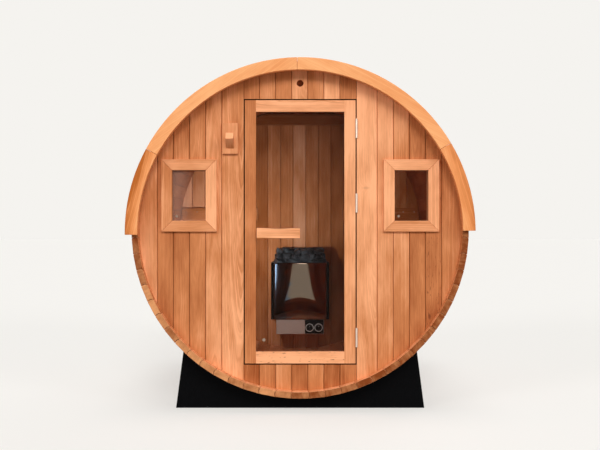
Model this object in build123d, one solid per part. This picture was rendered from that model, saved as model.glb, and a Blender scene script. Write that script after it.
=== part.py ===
from build123d import *
import math
import os

# Barrel sauna: a lying barrel of staves on two cradles, closed by a front wall with a glazed door
# and two windows and by a plain rear wall that carries an electric heater.
# Millimetres, +Z up, front towards -Y, origin on the ground under the middle of the barrel.
# Shapes are made about the barrel's axis, and save() lifts them to the axis's height.

# ---- Barrel ----
BARREL_DIAMETER = 1829.0
BARREL_LENGTH = 1829.0
GROUND_CLEARANCE = 79.5
STAVE_THICKNESS = 36.0
CURVE_CLEARANCE = 0.3

# ---- End walls ----
WALL_THICKNESS = 36.0
WALL_INSET = 50.0
CROZE_DEPTH = 12.0
VENT_RADIUS = 19.0
VENT_HEIGHT = 803.0
BATTEN_WIDTH = 88.0
TOP_BATTEN_WIDTH = 75.0
BATTEN_THICKNESS = 45.0
TOP_BATTEN_HEIGHT = 758.0
SIDE_BATTEN_HEIGHT = 62.0
BATTEN_END_CLEARANCE = 5.0

# ---- Trim over the ends of the upper staves ----
TRIM_LAP = 1.5
TRIM_WIDTH = 67.0
TRIM_THICKNESS = 38.0
TRIM_DROP = 14.0
TRIM_TOP_JOINT_X = -16.0
TRIM_LEFT_JOINT_ANGLE = 28.5
TRIM_RIGHT_JOINT_ANGLE = 30.7
TRIM_LEFT_END = -26.0
TRIM_RIGHT_END = -4.0
TRIM_JOINT_GAP = 0.3

# ---- Cradles ----
CRADLE_HALF_WIDTH = 693.0
CRADLE_SIDE_SLOPE = 0.129
CRADLE_THICKNESS = 38.0
CRADLE_SETBACK = 150.0

# ---- Steel bands ----
BAND_WIDTH = 19.0
BAND_THICKNESS = 1.2
BAND_SETBACK = 355.0
BAND_GAP_ANGLE = -25.0
BAND_GAP = 30.0
BAND_LUG_HEIGHT = 24.0
BAND_LUG_THICKNESS = 4.0
BAND_BOLT_RADIUS = 4.0

# ---- Door ----
DOOR_WIDTH = 606.0
DOOR_HEIGHT = 1441.0
DOOR_BOTTOM = -731.0
DOOR_GAP = 6.5
DOOR_STOP_GAP = 5.0
STILE_WIDTH = 61.0
TOP_RAIL_WIDTH = 63.0
BOTTOM_RAIL_WIDTH = 65.0
DOOR_GLASS_THICKNESS = 8.0
GLASS_REBATE = 12.0
STOP_WIDTH = 48.0
STOP_THICKNESS = 20.0
STOP_OVERLAP = 12.0

# ---- Door handle: a pair of boards on stand-offs, one on each side of the glass ----
HANDLE_LENGTH = 235.0
HANDLE_WIDTH = 55.0
HANDLE_THICKNESS = 20.0
HANDLE_STANDOFF = 42.0
HANDLE_STUD_RADIUS = 9.0
HANDLE_STUD_INSET = 45.0
HANDLE_HEIGHT = -17.0
HANDLE_STILE_GAP = 6.0

# ---- Hinges ----
HINGE_LENGTH = 102.0
HINGE_HEIGHTS = (555.0, 147.0, -588.0)
KNUCKLE_RADIUS = 6.5
KNUCKLE_COUNT = 5
KNUCKLE_GAP = 0.3
PIN_RADIUS = 3.0
PIN_CLEARANCE = 0.05
PIN_HEAD = 2.0
HINGE_PLATE = 2.0
HINGE_PLATE_DEPTH = 29.0
HINGE_WALL_CLEARANCE = 1.5
HINGE_SIDE = 5.0
HINGE_PLATE_GAP = 1.0

# ---- Windows ----
WINDOW_X = 607.0
WINDOW_HEIGHT = 188.0
SIGHT_WIDTH = 183.0
SIGHT_HEIGHT = 275.0
CASING_WIDTH = 60.0
CASING_THICKNESS = 20.0
CASING_BEVEL = 3.0
CASING_MITRE_GAP = 0.3
WINDOW_REBATE = 10.0
WINDOW_GLASS_THICKNESS = 6.0
WINDOW_GLASS_CLEARANCE = 0.5

# ---- Coat hook ----
HOOK_X = -382.0
HOOK_HEIGHT = 499.0
HOOK_BOARD = (84.0, 19.0, 169.0)
HOOK_PEG = 42.0
HOOK_PEG_FOOT = 444.0
HOOK_PEG_LENGTH = 82.0
HOOK_PEG_TILT = 36.0

# ---- Heater ----
HEATER_WIDTH = 408.0
HEATER_FRONT = 320.0
HEATER_BODY_BOTTOM = -634.0
HEATER_BODY_TOP = -237.0
HEATER_STANDOFF = 40.0
HEATER_SHELL = 12.0
HEATER_POCKET_DEPTH = 230.0
COVER_WIDTH = 367.0
COVER_THICKNESS = 12.0
PANEL_WIDTH = 334.0
PANEL_HEIGHT = 103.0
PANEL_SETBACK = 18.0
PANEL_DEPTH = 170.0
DIAL_RADIUS = 20.0
DIAL_THICKNESS = 14.0
DIAL_OFFSETS = (69.0, 125.0)
STONE_TOP = -130.0
STONE_TAPER = 26.0
BRACKET_X = 120.0
BRACKET_WIDTH = 40.0
BRACKET_END_INSET = 30.0

# ---- Worked out from the sizes above ----
BARREL_RADIUS = BARREL_DIAMETER / 2
INNER_RADIUS = BARREL_RADIUS - STAVE_THICKNESS
AXIS_HEIGHT = GROUND_CLEARANCE + BARREL_RADIUS
END = BARREL_LENGTH / 2
WALL_FACE = END - WALL_INSET
WALL_BACK = WALL_FACE - WALL_THICKNESS
WALL_RADIUS = INNER_RADIUS + CROZE_DEPTH - CURVE_CLEARANCE
TRIM_INNER_RADIUS = INNER_RADIUS - TRIM_LAP
DOOR_THICKNESS = WALL_THICKNESS - DOOR_STOP_GAP
DOOR_SIDE = DOOR_WIDTH / 2
DOOR_TOP = DOOR_BOTTOM + DOOR_HEIGHT
OPENING_SIDE = DOOR_SIDE + DOOR_GAP
OPENING_BOTTOM = DOOR_BOTTOM - DOOR_GAP
OPENING_TOP = DOOR_TOP + DOOR_GAP
HINGE_X = DOOR_SIDE + HINGE_SIDE
HINGE_Y = -WALL_FACE - KNUCKLE_RADIUS - HINGE_WALL_CLEARANCE
GLASS_FRONT = -WALL_FACE + (DOOR_THICKNESS - DOOR_GLASS_THICKNESS) / 2
GLASS_BACK = GLASS_FRONT + DOOR_GLASS_THICKNESS
HEATER_FACE = WALL_BACK - HEATER_FRONT
HEATER_BACK = WALL_BACK - HEATER_STANDOFF


def save(name, *solids):
    """Writes one sub-part, lifted from the barrel's axis to its height over the ground."""
    shape = solids[0] if len(solids) == 1 else Compound(children=list(solids))
    export_step(Pos(0, 0, AXIS_HEIGHT) * shape, f"parts/{name}.step")


def block(x, y, z):
    """A box from three (low, high) pairs."""
    size = [high - low for low, high in (x, y, z)]
    middle = [(high + low) / 2 for low, high in (x, y, z)]
    return Pos(*middle) * Box(*size)


def disc(radius, y):
    """A round slab about the barrel's axis between two places along it."""
    return Pos(0, sum(y) / 2, 0) * Rot(90, 0, 0) * Cylinder(radius, y[1] - y[0])


def prism(points, y):
    """A straight prism along Y from an outline of (x, z) points."""
    outline = Polyline(*[(px, y[0], pz) for px, pz in points], close=True)
    return extrude(make_face(outline), amount=y[1] - y[0], dir=(0, 1, 0))


def polar(radius, angle):
    """The (x, z) point at a radius and an angle in degrees from +X towards +Z."""
    return radius * math.cos(math.radians(angle)), radius * math.sin(math.radians(angle))


def ends(thickness, setback):
    """The (low, high) places along Y of a slab set back from the front end and from the rear end."""
    front = -END + setback
    return {"front": (front, front + thickness), "rear": (-front - thickness, -front)}


def stave_segment(start, stop):
    """A run of staves, with a groove near both ends that holds the end walls."""
    y = (-END, END)
    far = 2 * BARREL_RADIUS
    wedge = prism([(0, 0), polar(far, start), polar(far, (start + stop) / 2), polar(far, stop)], y)
    staves = (disc(BARREL_RADIUS, y) - disc(INNER_RADIUS, y)) & wedge
    groove = WALL_THICKNESS + 2 * CURVE_CLEARANCE
    for place in ends(groove, WALL_INSET - CURVE_CLEARANCE).values():
        staves -= disc(INNER_RADIUS + CROZE_DEPTH, place)
    return staves


def make_staves():
    names = ("right", "upper_right", "top", "upper_left", "left", "lower_left", "bottom", "lower_right")
    span = 360.0 / len(names)
    for i, name in enumerate(names):
        save(f"staves_{name}", stave_segment(span * (i - 0.5), span * (i + 0.5)))


def window_opening(side):
    half_width = SIGHT_WIDTH / 2 + WINDOW_REBATE
    half_height = SIGHT_HEIGHT / 2 + WINDOW_REBATE
    centre = side * WINDOW_X
    return block(
        (centre - half_width, centre + half_width),
        (-END, 0),
        (WINDOW_HEIGHT - half_height, WINDOW_HEIGHT + half_height),
    )


def make_front_wall():
    y = (-WALL_FACE, -WALL_BACK)
    wall = disc(WALL_RADIUS, y)
    far = BARREL_RADIUS
    left = wall & block((-far, -OPENING_SIDE), y, (-far, far))
    right = wall & block((OPENING_SIDE, far), y, (-far, far))
    save("front_wall_left", left - window_opening(-1))
    save("front_wall_right", right - window_opening(1))
    middle = (-OPENING_SIDE, OPENING_SIDE)
    over = wall & block(middle, y, (OPENING_TOP, far))
    vent = Pos(0, -WALL_FACE, VENT_HEIGHT) * Rot(90, 0, 0) * Cylinder(VENT_RADIUS, 4 * WALL_THICKNESS)
    save("front_wall_over_door", over - vent)
    save("front_wall_under_door", wall & block(middle, y, (-far, OPENING_BOTTOM)))


def make_rear_wall():
    y = (WALL_BACK, WALL_FACE)
    wall = disc(WALL_RADIUS, y)
    far = BARREL_RADIUS
    save("rear_wall_left", wall & block((-far, -OPENING_SIDE), y, (-far, far)))
    save("rear_wall_middle", wall & block((-OPENING_SIDE, OPENING_SIDE), y, (-far, far)))
    save("rear_wall_right", wall & block((OPENING_SIDE, far), y, (-far, far)))
    y = (WALL_BACK - BATTEN_THICKNESS, WALL_BACK)
    inside = disc(INNER_RADIUS - BATTEN_END_CLEARANCE, y)
    top = (TOP_BATTEN_HEIGHT, TOP_BATTEN_HEIGHT + TOP_BATTEN_WIDTH)
    side = (SIDE_BATTEN_HEIGHT, SIDE_BATTEN_HEIGHT + BATTEN_WIDTH)
    end = math.sqrt((INNER_RADIUS - BATTEN_END_CLEARANCE) ** 2 - side[1] ** 2)
    save(
        "rear_wall_battens",
        inside & block((-far, far), y, top),
        block((-end, -OPENING_SIDE), y, side),
        block((OPENING_SIDE, end), y, side),
    )


def make_trims():
    """Four boards at each end: two meet near the top, and two run on down to the level cuts."""
    outer = TRIM_INNER_RADIUS + TRIM_WIDTH
    far = 2 * outer
    top_gap = TRIM_JOINT_GAP / 2
    half_gap = math.degrees(top_gap / outer)
    sides = (
        ("left", -1, TRIM_LEFT_JOINT_ANGLE, TRIM_LEFT_END, (-far, TRIM_TOP_JOINT_X - top_gap)),
        ("right", 1, TRIM_RIGHT_JOINT_ANGLE, TRIM_RIGHT_END, (TRIM_TOP_JOINT_X + top_gap, far)),
    )
    for end_name, y in ends(TRIM_THICKNESS, -TRIM_THICKNESS).items():
        ring = disc(outer, y) - disc(TRIM_INNER_RADIUS, y)
        for side, sign, joint, foot, width in sides:
            upper = [(0, 0)]
            upper += [(sign * px, pz) for px, pz in (polar(far, joint + half_gap), (far, far), (-far, far))]
            lower = [(0, foot + TRIM_DROP), (sign * far, foot + TRIM_DROP)]
            lower += [(sign * px, pz) for px, pz in (polar(far, joint - half_gap), (0, 0))]
            drop = Pos(0, 0, -TRIM_DROP)
            upper_board = drop * (ring & prism(upper, y) & block(width, y, (0, far)))
            save(f"{end_name}_trim_upper_{side}", upper_board)
            save(f"{end_name}_trim_lower_{side}", drop * (ring & prism(lower, y)))


def make_cradles():
    """Plates that stand on the ground, hollowed to the barrel, with sides that lean in."""
    seat = BARREL_RADIUS + CURVE_CLEARANCE
    ground = -AXIS_HEIGHT
    a = 1 + CRADLE_SIDE_SLOPE ** 2
    x0 = CRADLE_HALF_WIDTH + CRADLE_SIDE_SLOPE * ground
    b = -CRADLE_SIDE_SLOPE * x0
    top = (-b - math.sqrt(b * b - a * (x0 * x0 - seat * seat))) / a
    half_top = x0 - CRADLE_SIDE_SLOPE * top
    outline = [
        (-CRADLE_HALF_WIDTH, ground),
        (CRADLE_HALF_WIDTH, ground),
        (half_top, top),
        (-half_top, top),
    ]
    for name, y in ends(CRADLE_THICKNESS, CRADLE_SETBACK).items():
        save(f"{name}_cradle", prism(outline, y) - disc(seat, y))


def make_bands():
    """Thin steel straps that draw the staves together, each closed by a bolt through two lugs."""
    inner = BARREL_RADIUS + CURVE_CLEARANCE
    outer = inner + BAND_THICKNESS
    bands = []
    for y in ends(BAND_WIDTH, BAND_SETBACK).values():
        middle = sum(y) / 2
        lug_end = outer + BAND_LUG_HEIGHT
        ring = disc(outer, y) - disc(inner, y)
        ring -= block((inner - BAND_WIDTH, lug_end), y, (-BAND_GAP / 2, BAND_GAP / 2))
        for low in (-BAND_GAP / 2 - BAND_LUG_THICKNESS, BAND_GAP / 2):
            ring += block((inner, lug_end), y, (low, low + BAND_LUG_THICKNESS))
        bolt_x = outer + BAND_LUG_HEIGHT * 0.6
        ring += Pos(bolt_x, middle, 0) * Cylinder(BAND_BOLT_RADIUS, BAND_GAP + 6 * BAND_LUG_THICKNESS)
        bands.append(Rot(0, -BAND_GAP_ANGLE, 0) * ring)
    save("steel_bands", *bands)


def make_door():
    y = (-WALL_FACE, -WALL_FACE + DOOR_THICKNESS)
    sight_side = DOOR_SIDE - STILE_WIDTH
    sight_bottom = DOOR_BOTTOM + BOTTOM_RAIL_WIDTH
    sight_top = DOOR_TOP - TOP_RAIL_WIDTH
    glass_y = (GLASS_FRONT, GLASS_BACK)
    glass = block(
        (-sight_side - GLASS_REBATE, sight_side + GLASS_REBATE),
        glass_y,
        (sight_bottom - GLASS_REBATE, sight_top + GLASS_REBATE),
    )
    height = (DOOR_BOTTOM, DOOR_TOP)
    save("door_left_stile", block((-DOOR_SIDE, -sight_side), y, height) - glass)
    save("door_right_stile", block((sight_side, DOOR_SIDE), y, height) - glass)
    between = (-sight_side, sight_side)
    save("door_top_rail", block(between, y, (sight_top, DOOR_TOP)) - glass)
    save("door_bottom_rail", block(between, y, (DOOR_BOTTOM, sight_bottom)) - glass)
    save("door_glass", glass)


def make_door_stops():
    """Strips on the inside of the wall, round the opening, that the closed door comes up to."""
    y = (-WALL_BACK, -WALL_BACK + STOP_THICKNESS)
    inner_side = DOOR_SIDE - STOP_OVERLAP
    outer_side = inner_side + STOP_WIDTH
    inner_top = DOOR_TOP - STOP_OVERLAP
    inner_bottom = DOOR_BOTTOM + STOP_OVERLAP
    between = (-inner_side + CURVE_CLEARANCE, inner_side - CURVE_CLEARANCE)
    height = (inner_bottom - STOP_WIDTH, inner_top + STOP_WIDTH)
    save(
        "door_stops",
        block((-outer_side, -inner_side), y, height),
        block((inner_side, outer_side), y, height),
        block(between, y, (inner_top, inner_top + STOP_WIDTH)),
        block(between, y, (inner_bottom - STOP_WIDTH, inner_bottom)),
    )


def make_handle():
    left = -DOOR_SIDE + STILE_WIDTH + HANDLE_STILE_GAP
    x = (left, left + HANDLE_LENGTH)
    z = (HANDLE_HEIGHT - HANDLE_WIDTH / 2, HANDLE_HEIGHT + HANDLE_WIDTH / 2)
    halves = []
    for face, out in ((GLASS_FRONT, -1), (GLASS_BACK, 1)):
        near = face + out * HANDLE_STANDOFF
        far = near + out * HANDLE_THICKNESS
        half = block(x, sorted((near, far)), z)
        for stud_x in (x[0] + HANDLE_STUD_INSET, x[1] - HANDLE_STUD_INSET):
            stud = Rot(90, 0, 0) * Cylinder(HANDLE_STUD_RADIUS, HANDLE_STANDOFF)
            half += Pos(stud_x, (face + near) / 2, HANDLE_HEIGHT) * stud
        halves.append(half)
    save("door_handle", *halves)


def knuckle_spans(centre):
    """The (low, high) heights of one hinge's knuckles, from the bottom up."""
    each = (HINGE_LENGTH - (KNUCKLE_COUNT - 1) * KNUCKLE_GAP) / KNUCKLE_COUNT
    low = centre - HINGE_LENGTH / 2
    starts = [low + i * (each + KNUCKLE_GAP) for i in range(KNUCKLE_COUNT)]
    return [(start, start + each) for start in starts]


def hinge_half(centre, plate_x, first_knuckle):
    """A hinge's plate in the door gap, with every other knuckle, joined to the plate by tabs."""
    plate_y = HINGE_Y + KNUCKLE_RADIUS + HINGE_PLATE_GAP
    z = (centre - HINGE_LENGTH / 2, centre + HINGE_LENGTH / 2)
    half = block(plate_x, (plate_y, plate_y + HINGE_PLATE_DEPTH), z)
    for span in knuckle_spans(centre)[first_knuckle::2]:
        half += block(plate_x, (HINGE_Y, plate_y), span)
        knuckle = Cylinder(KNUCKLE_RADIUS, span[1] - span[0])
        half += Pos(HINGE_X, HINGE_Y, sum(span) / 2) * knuckle
    return half


def make_hinges():
    fixed = []
    moving = []
    for centre in HINGE_HEIGHTS:
        axis = Pos(HINGE_X, HINGE_Y, centre)
        frame_half = hinge_half(centre, (OPENING_SIDE - HINGE_PLATE, OPENING_SIDE), 0)
        frame_half += axis * Cylinder(PIN_RADIUS, HINGE_LENGTH + 2 * PIN_HEAD)
        fixed.append(frame_half)
        door_half = hinge_half(centre, (DOOR_SIDE, DOOR_SIDE + HINGE_PLATE), 1)
        moving.append(door_half - axis * Cylinder(PIN_RADIUS + PIN_CLEARANCE, 2 * HINGE_LENGTH))
    save("frame_hinge_leaves", *fixed)
    save("door_hinge_leaves", *moving)


def casing(side, y, bevel_y):
    """Four mitred boards round a window, bevelled along their front edges."""
    centre = side * WINDOW_X
    inner = (SIGHT_WIDTH / 2, SIGHT_HEIGHT / 2)
    outer = (inner[0] + CASING_WIDTH, inner[1] + CASING_WIDTH)
    boards = []
    for along, (u_axis, v_axis) in enumerate((((1, 0), (0, 1)), ((0, 1), (1, 0)))):
        for sign in (-1, 1):
            reach_in = inner[along] - CASING_MITRE_GAP
            reach_out = outer[along] - CASING_MITRE_GAP
            near = sign * inner[1 - along]
            far = sign * outer[1 - along]
            corners = [(-reach_in, near), (reach_in, near), (reach_out, far), (-reach_out, far)]
            points = [
                (
                    centre + u * u_axis[0] + v * v_axis[0],
                    WINDOW_HEIGHT + u * u_axis[1] + v * v_axis[1],
                )
                for u, v in corners
            ]
            board = prism(points, y)
            front = board.faces().filter_by_position(Axis.Y, bevel_y - 0.01, bevel_y + 0.01)
            boards.append(chamfer(front.edges(), CASING_BEVEL))
    return boards


def make_windows():
    half_width = SIGHT_WIDTH / 2 + WINDOW_REBATE - WINDOW_GLASS_CLEARANCE
    half_height = SIGHT_HEIGHT / 2 + WINDOW_REBATE - WINDOW_GLASS_CLEARANCE
    pane_front = -WALL_FACE + CURVE_CLEARANCE
    panes = []
    for name, side in (("left", -1), ("right", 1)):
        front = -WALL_FACE - CASING_THICKNESS
        back = -WALL_BACK + CASING_THICKNESS
        outside = casing(side, (front, -WALL_FACE), front)
        inside = casing(side, (-WALL_BACK, back), back)
        save(f"{name}_window_casing", *outside, *inside)
        pane = block(
            (side * WINDOW_X - half_width, side * WINDOW_X + half_width),
            (pane_front, pane_front + WINDOW_GLASS_THICKNESS),
            (WINDOW_HEIGHT - half_height, WINDOW_HEIGHT + half_height),
        )
        panes.append(pane)
    save("window_panes", *panes)


def make_coat_hook():
    width, thickness, height = HOOK_BOARD
    board_front = -WALL_FACE - thickness
    board = block(
        (HOOK_X - width / 2, HOOK_X + width / 2),
        (board_front, -WALL_FACE),
        (HOOK_HEIGHT - height / 2, HOOK_HEIGHT + height / 2),
    )
    out = math.cos(math.radians(HOOK_PEG_TILT))
    up = math.sin(math.radians(HOOK_PEG_TILT))
    tip = (board_front - HOOK_PEG_LENGTH * out, HOOK_PEG_FOOT + HOOK_PEG_LENGTH * up)
    side_view = [
        (board_front, HOOK_PEG_FOOT),
        tip,
        (tip[0] + HOOK_PEG * up, tip[1] + HOOK_PEG * out),
        (board_front, HOOK_PEG_FOOT + HOOK_PEG / out),
    ]
    outline = Polyline(*[(HOOK_X - HOOK_PEG / 2, py, pz) for py, pz in side_view], close=True)
    peg = extrude(make_face(outline), amount=HOOK_PEG, dir=(1, 0, 0))
    save("coat_hook", board + peg)


def make_heater():
    half = HEATER_WIDTH / 2
    body_front = HEATER_FACE + COVER_THICKNESS
    pocket_x = (-half + HEATER_SHELL, half - HEATER_SHELL)
    pocket_y = (body_front + HEATER_SHELL, HEATER_BACK - HEATER_SHELL)
    pocket_floor = HEATER_BODY_TOP - HEATER_POCKET_DEPTH
    body = block((-half, half), (body_front, HEATER_BACK), (HEATER_BODY_BOTTOM, HEATER_BODY_TOP))
    body -= block(pocket_x, pocket_y, (pocket_floor, HEATER_BODY_TOP + HEATER_SHELL))
    save("heater_body", body)
    cover_y = (HEATER_FACE, body_front)
    cover_z = (HEATER_BODY_BOTTOM, HEATER_BODY_TOP)
    save("heater_front_cover", block((-COVER_WIDTH / 2, COVER_WIDTH / 2), cover_y, cover_z))

    panel_top = HEATER_BODY_BOTTOM
    panel_front = HEATER_FACE + PANEL_SETBACK
    panel = block(
        (-PANEL_WIDTH / 2, PANEL_WIDTH / 2),
        (panel_front, panel_front + PANEL_DEPTH),
        (panel_top - PANEL_HEIGHT, panel_top),
    )
    for dial_x in DIAL_OFFSETS:
        place = Pos(dial_x, panel_front - DIAL_THICKNESS / 2, panel_top - PANEL_HEIGHT / 2)
        panel += place * Rot(90, 0, 0) * Cylinder(DIAL_RADIUS, DIAL_THICKNESS)
    save("heater_control_panel", panel)

    stone_x = (pocket_x[0] + CURVE_CLEARANCE, pocket_x[1] - CURVE_CLEARANCE)
    stone_y = (pocket_y[0] + CURVE_CLEARANCE, pocket_y[1] - CURVE_CLEARANCE)
    base = block(stone_x, stone_y, (pocket_floor, HEATER_BODY_TOP))
    top_face = base.faces().sort_by(Axis.Z)[-1]
    save("heater_stones", base + extrude(top_face, amount=STONE_TOP - HEATER_BODY_TOP, taper=STONE_TAPER))

    brackets = []
    for x in (-BRACKET_X, BRACKET_X):
        height = (HEATER_BODY_BOTTOM + BRACKET_END_INSET, HEATER_BODY_TOP - BRACKET_END_INSET)
        width = (x - BRACKET_WIDTH / 2, x + BRACKET_WIDTH / 2)
        brackets.append(block(width, (HEATER_BACK, WALL_BACK), height))
    save("heater_brackets", *brackets)


os.makedirs("parts", exist_ok=True)
make_staves()
make_front_wall()
make_rear_wall()
make_trims()
make_cradles()
make_bands()
make_door()
make_door_stops()
make_handle()
make_hinges()
make_windows()
make_coat_hook()
make_heater()
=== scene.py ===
import math
import random

import bmesh
import bpy
from mathutils import Euler, Matrix, Vector


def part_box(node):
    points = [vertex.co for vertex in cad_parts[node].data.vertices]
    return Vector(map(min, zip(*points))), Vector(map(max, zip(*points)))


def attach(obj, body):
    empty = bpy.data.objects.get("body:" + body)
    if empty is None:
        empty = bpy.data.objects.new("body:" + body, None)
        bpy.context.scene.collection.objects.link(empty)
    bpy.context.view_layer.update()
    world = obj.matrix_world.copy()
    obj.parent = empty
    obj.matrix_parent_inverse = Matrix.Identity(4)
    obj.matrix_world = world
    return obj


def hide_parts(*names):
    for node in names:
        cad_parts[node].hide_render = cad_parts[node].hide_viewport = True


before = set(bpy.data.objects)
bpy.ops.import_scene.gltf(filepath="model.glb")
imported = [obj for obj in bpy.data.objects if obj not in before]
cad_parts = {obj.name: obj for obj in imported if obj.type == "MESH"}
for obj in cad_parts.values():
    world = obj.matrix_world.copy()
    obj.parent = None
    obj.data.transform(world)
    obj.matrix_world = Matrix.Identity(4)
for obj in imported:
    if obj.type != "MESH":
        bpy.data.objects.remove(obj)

bl_info = {
    "name": "Barrel sauna",
    "version": (1, 0, 0),
    "blender": (4, 5, 0),
    "location": "3D View > Sidebar > Sauna",
    "description": "Builds the boards, metalwork, glass and stones of a barrel sauna on its frame",
    "category": "Add Mesh",
}

MM = 0.001


def low(node, axis):
    """A frame node's lowest coordinate along one axis."""
    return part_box(node)[0][axis]


def high(node, axis):
    """A frame node's highest coordinate along one axis."""
    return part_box(node)[1][axis]


def span(node, axis):
    """A frame node's (low, high) pair along one axis."""
    return low(node, axis), high(node, axis)


def spans(node):
    """A frame node's (low, high) pairs along X, Y and Z."""
    return [span(node, axis) for axis in range(3)]


# ---- Places taken from the frame ----
BARREL_RADIUS = high("staves_right", 0)
AXIS_Z = high("staves_top", 2) - BARREL_RADIUS
BARREL_END = high("staves_top", 1)
SEGMENT_HALF_ANGLE = math.radians(22.5)
INNER_RADIUS = low("staves_right", 0) / math.cos(SEGMENT_HALF_ANGLE)
WALL_Y = span("front_wall_left", 1)
REAR_WALL_Y = span("rear_wall_left", 1)
WALL_RADIUS = AXIS_Z - low("rear_wall_middle", 2)
DOOR_OPENING_X = span("front_wall_over_door", 0)
DOOR_OPENING_TOP = low("front_wall_over_door", 2)
DOOR_OPENING_BOTTOM = high("front_wall_under_door", 2)
TRIM_RADIUS = high("front_trim_lower_right", 0)
TRIM_Z = high("front_trim_upper_right", 2) - TRIM_RADIUS

# ---- The ways that fibres and brush lines run ----
UPRIGHT = (0, 0, 1)
SIDEWAYS = (1, 0, 0)
LENGTHWAYS = (0, 1, 0)


def hex_colour(text):
    """An sRGB hex colour as linear red, green, blue."""
    parts = [int(text[i : i + 2], 16) / 255 for i in (0, 2, 4)]
    return tuple(p / 12.92 if p <= 0.04045 else ((p + 0.055) / 1.055) ** 2.4 for p in parts)


# ---- Sizes and colours a user would change ----
def length(name, description, millimetres):
    """A size in the sidebar, given in millimetres."""
    return bpy.props.FloatProperty(
        name=name, description=description, default=millimetres * MM, unit="LENGTH", precision=4
    )


def colour(name, description, text):
    """A colour in the sidebar, given as sRGB hex."""
    return bpy.props.FloatVectorProperty(
        name=name, description=description, default=hex_colour(text), subtype="COLOR", min=0, max=1
    )


class SaunaSizes(bpy.types.PropertyGroup):
    stave_count: bpy.props.IntProperty(
        name="Staves", description="Number of staves round the barrel", default=64, min=24, max=120
    )
    bead_depth: length("Bead depth", "How far a stave's rounded edge stands into its neighbour", 6.5)
    stave_round: length("Stave edge", "Easing of each stave's long outer and inner edges", 1.4)
    board_width: length("Board width", "Pitch of the wall boards", 88.2)
    groove: length("Groove", "Width of the slope on each side of a V joint", 3.2)
    joint_gap: length("Joint gap", "Open line at the bottom of a V joint", 2.2)
    rear_board_width: length("Rear board width", "Pitch of the rear wall's boards", 92.5)
    left_wide_board: length("Left wide board", "Width of the board left of the door", 120)
    right_wide_board: length("Right wide board", "Width of the board right of the door", 112)
    trim_width: length("Trim width", "Width of the curved trim boards", 67)
    casing_width: length("Casing width", "Width of the boards round the windows", 60)
    edge_round: length("Board edge", "Easing of planed board edges", 2.2)
    stone_size: length("Stone size", "Mean width of the heater's stones", 68)


class SaunaColours(bpy.types.PropertyGroup):
    cedar_dark: colour("Cedar, dark", "Heartwood of the darkest boards", "94491C")
    cedar_middle: colour("Cedar, middle", "Common colour of the boards", "CB7E4B")
    cedar_light: colour("Cedar, light", "Pale wood of the lightest boards", "FFB482")
    inside_dark: colour("Rear wall, dark", "Heartwood of the rear wall's boards", "864619")
    inside_middle: colour("Rear wall, middle", "Common colour of the rear wall's boards", "BD794B")
    inside_light: colour("Rear wall, light", "Pale wood of the rear wall's boards", "ECB088")
    trim_dark: colour("Trim, dark", "Late wood of the curved trim boards", "B8621F")
    trim_middle: colour("Trim, middle", "Common colour of the curved trim boards", "EC9557")
    trim_light: colour("Trim, light", "Early wood of the curved trim boards", "FFB87C")
    end_dark: colour("End grain, dark", "Sawn ends of the darkest staves", "7F3A0A")
    end_light: colour("End grain, light", "Sawn ends of the palest staves", "DE9862")
    plastic: colour("Cradle", "Black polyethylene of the cradles", "050506")
    steel: colour("Steel", "Bare stainless steel", "C9C8C6")
    # The cover's two colours, blue on the left and straw on the right, are a painted reflection.
    mirror: colour("Cover", "Polished stainless cover of the heater", "A8937F")
    mirror_cool: colour("Cover, cool", "Bluer left side of the heater's cover", "6C8096")
    panel: colour("Panel", "Dull stainless panel of the heater", "E6D6CA")
    hinge: colour("Hinges", "Satin nickel plate", "CFC1B4")
    enamel: colour("Heater", "Black enamel of the heater's body", "050505")
    glass: colour("Glass", "Bronze tint of the toughened glass", "120A06")
    # The left pane's pale haze is a painted reflection.
    painted_haze: colour("Film", "Dried film on the left pane", "9A7565")
    stone: colour("Stones", "Dark heater stones", "32363A")
    ground: colour("Ground", "Pale studio floor and background", "F5F3EF")


def sizes():
    """The sizes as the sidebar has them."""
    return bpy.context.scene.sauna_sizes


def colours():
    """The colours as the sidebar has them."""
    return bpy.context.scene.sauna_colours


# ---- Nodes and materials ----
MULTIPLY = {"operation": "MULTIPLY"}
MULTIPLY_ADD = {"operation": "MULTIPLY_ADD"}
COLOUR = {"data_type": "RGBA"}
ONE_WAY = {"noise_dimensions": "1D", "normalize": False}
ALL_WAYS = {"noise_dimensions": "3D", "normalize": False}
SMOOTH = {"interpolation_type": "SMOOTHSTEP"}


def add(tree, kind, settings=None, inputs=None, output=None):
    """Adds a shader node with its settings, sets or links its inputs, and gives one of its outputs."""
    node = tree.nodes.new("ShaderNode" + kind)
    for key, value in (settings or {}).items():
        setattr(node, key, value)
    for key, value in (inputs or {}).items():
        socket = next(s for i, s in enumerate(node.inputs) if s.enabled and key in (i, s.name))
        if isinstance(value, bpy.types.NodeSocket):
            tree.links.new(value, socket)
        else:
            socket.default_value = value
    return next((s for s in node.outputs if s.enabled and output in (None, s.name)), None)


def new_material(name, constants):
    """A material whose principled shader has these constants. Gives the material, its tree and the shader."""
    material = bpy.data.materials.new(name)
    material.use_nodes = True
    tree = material.node_tree
    tree.nodes.clear()
    shader = add(tree, "BsdfPrincipled", inputs=constants)
    add(tree, "OutputMaterial", inputs={"Surface": shader})
    return material, tree, shader.node


def rgba(value, gain=1.0):
    """A colour with an alpha of 1, made darker or brighter by a gain."""
    return (*(min(1.0, part * gain) for part in value), 1.0)


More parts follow.
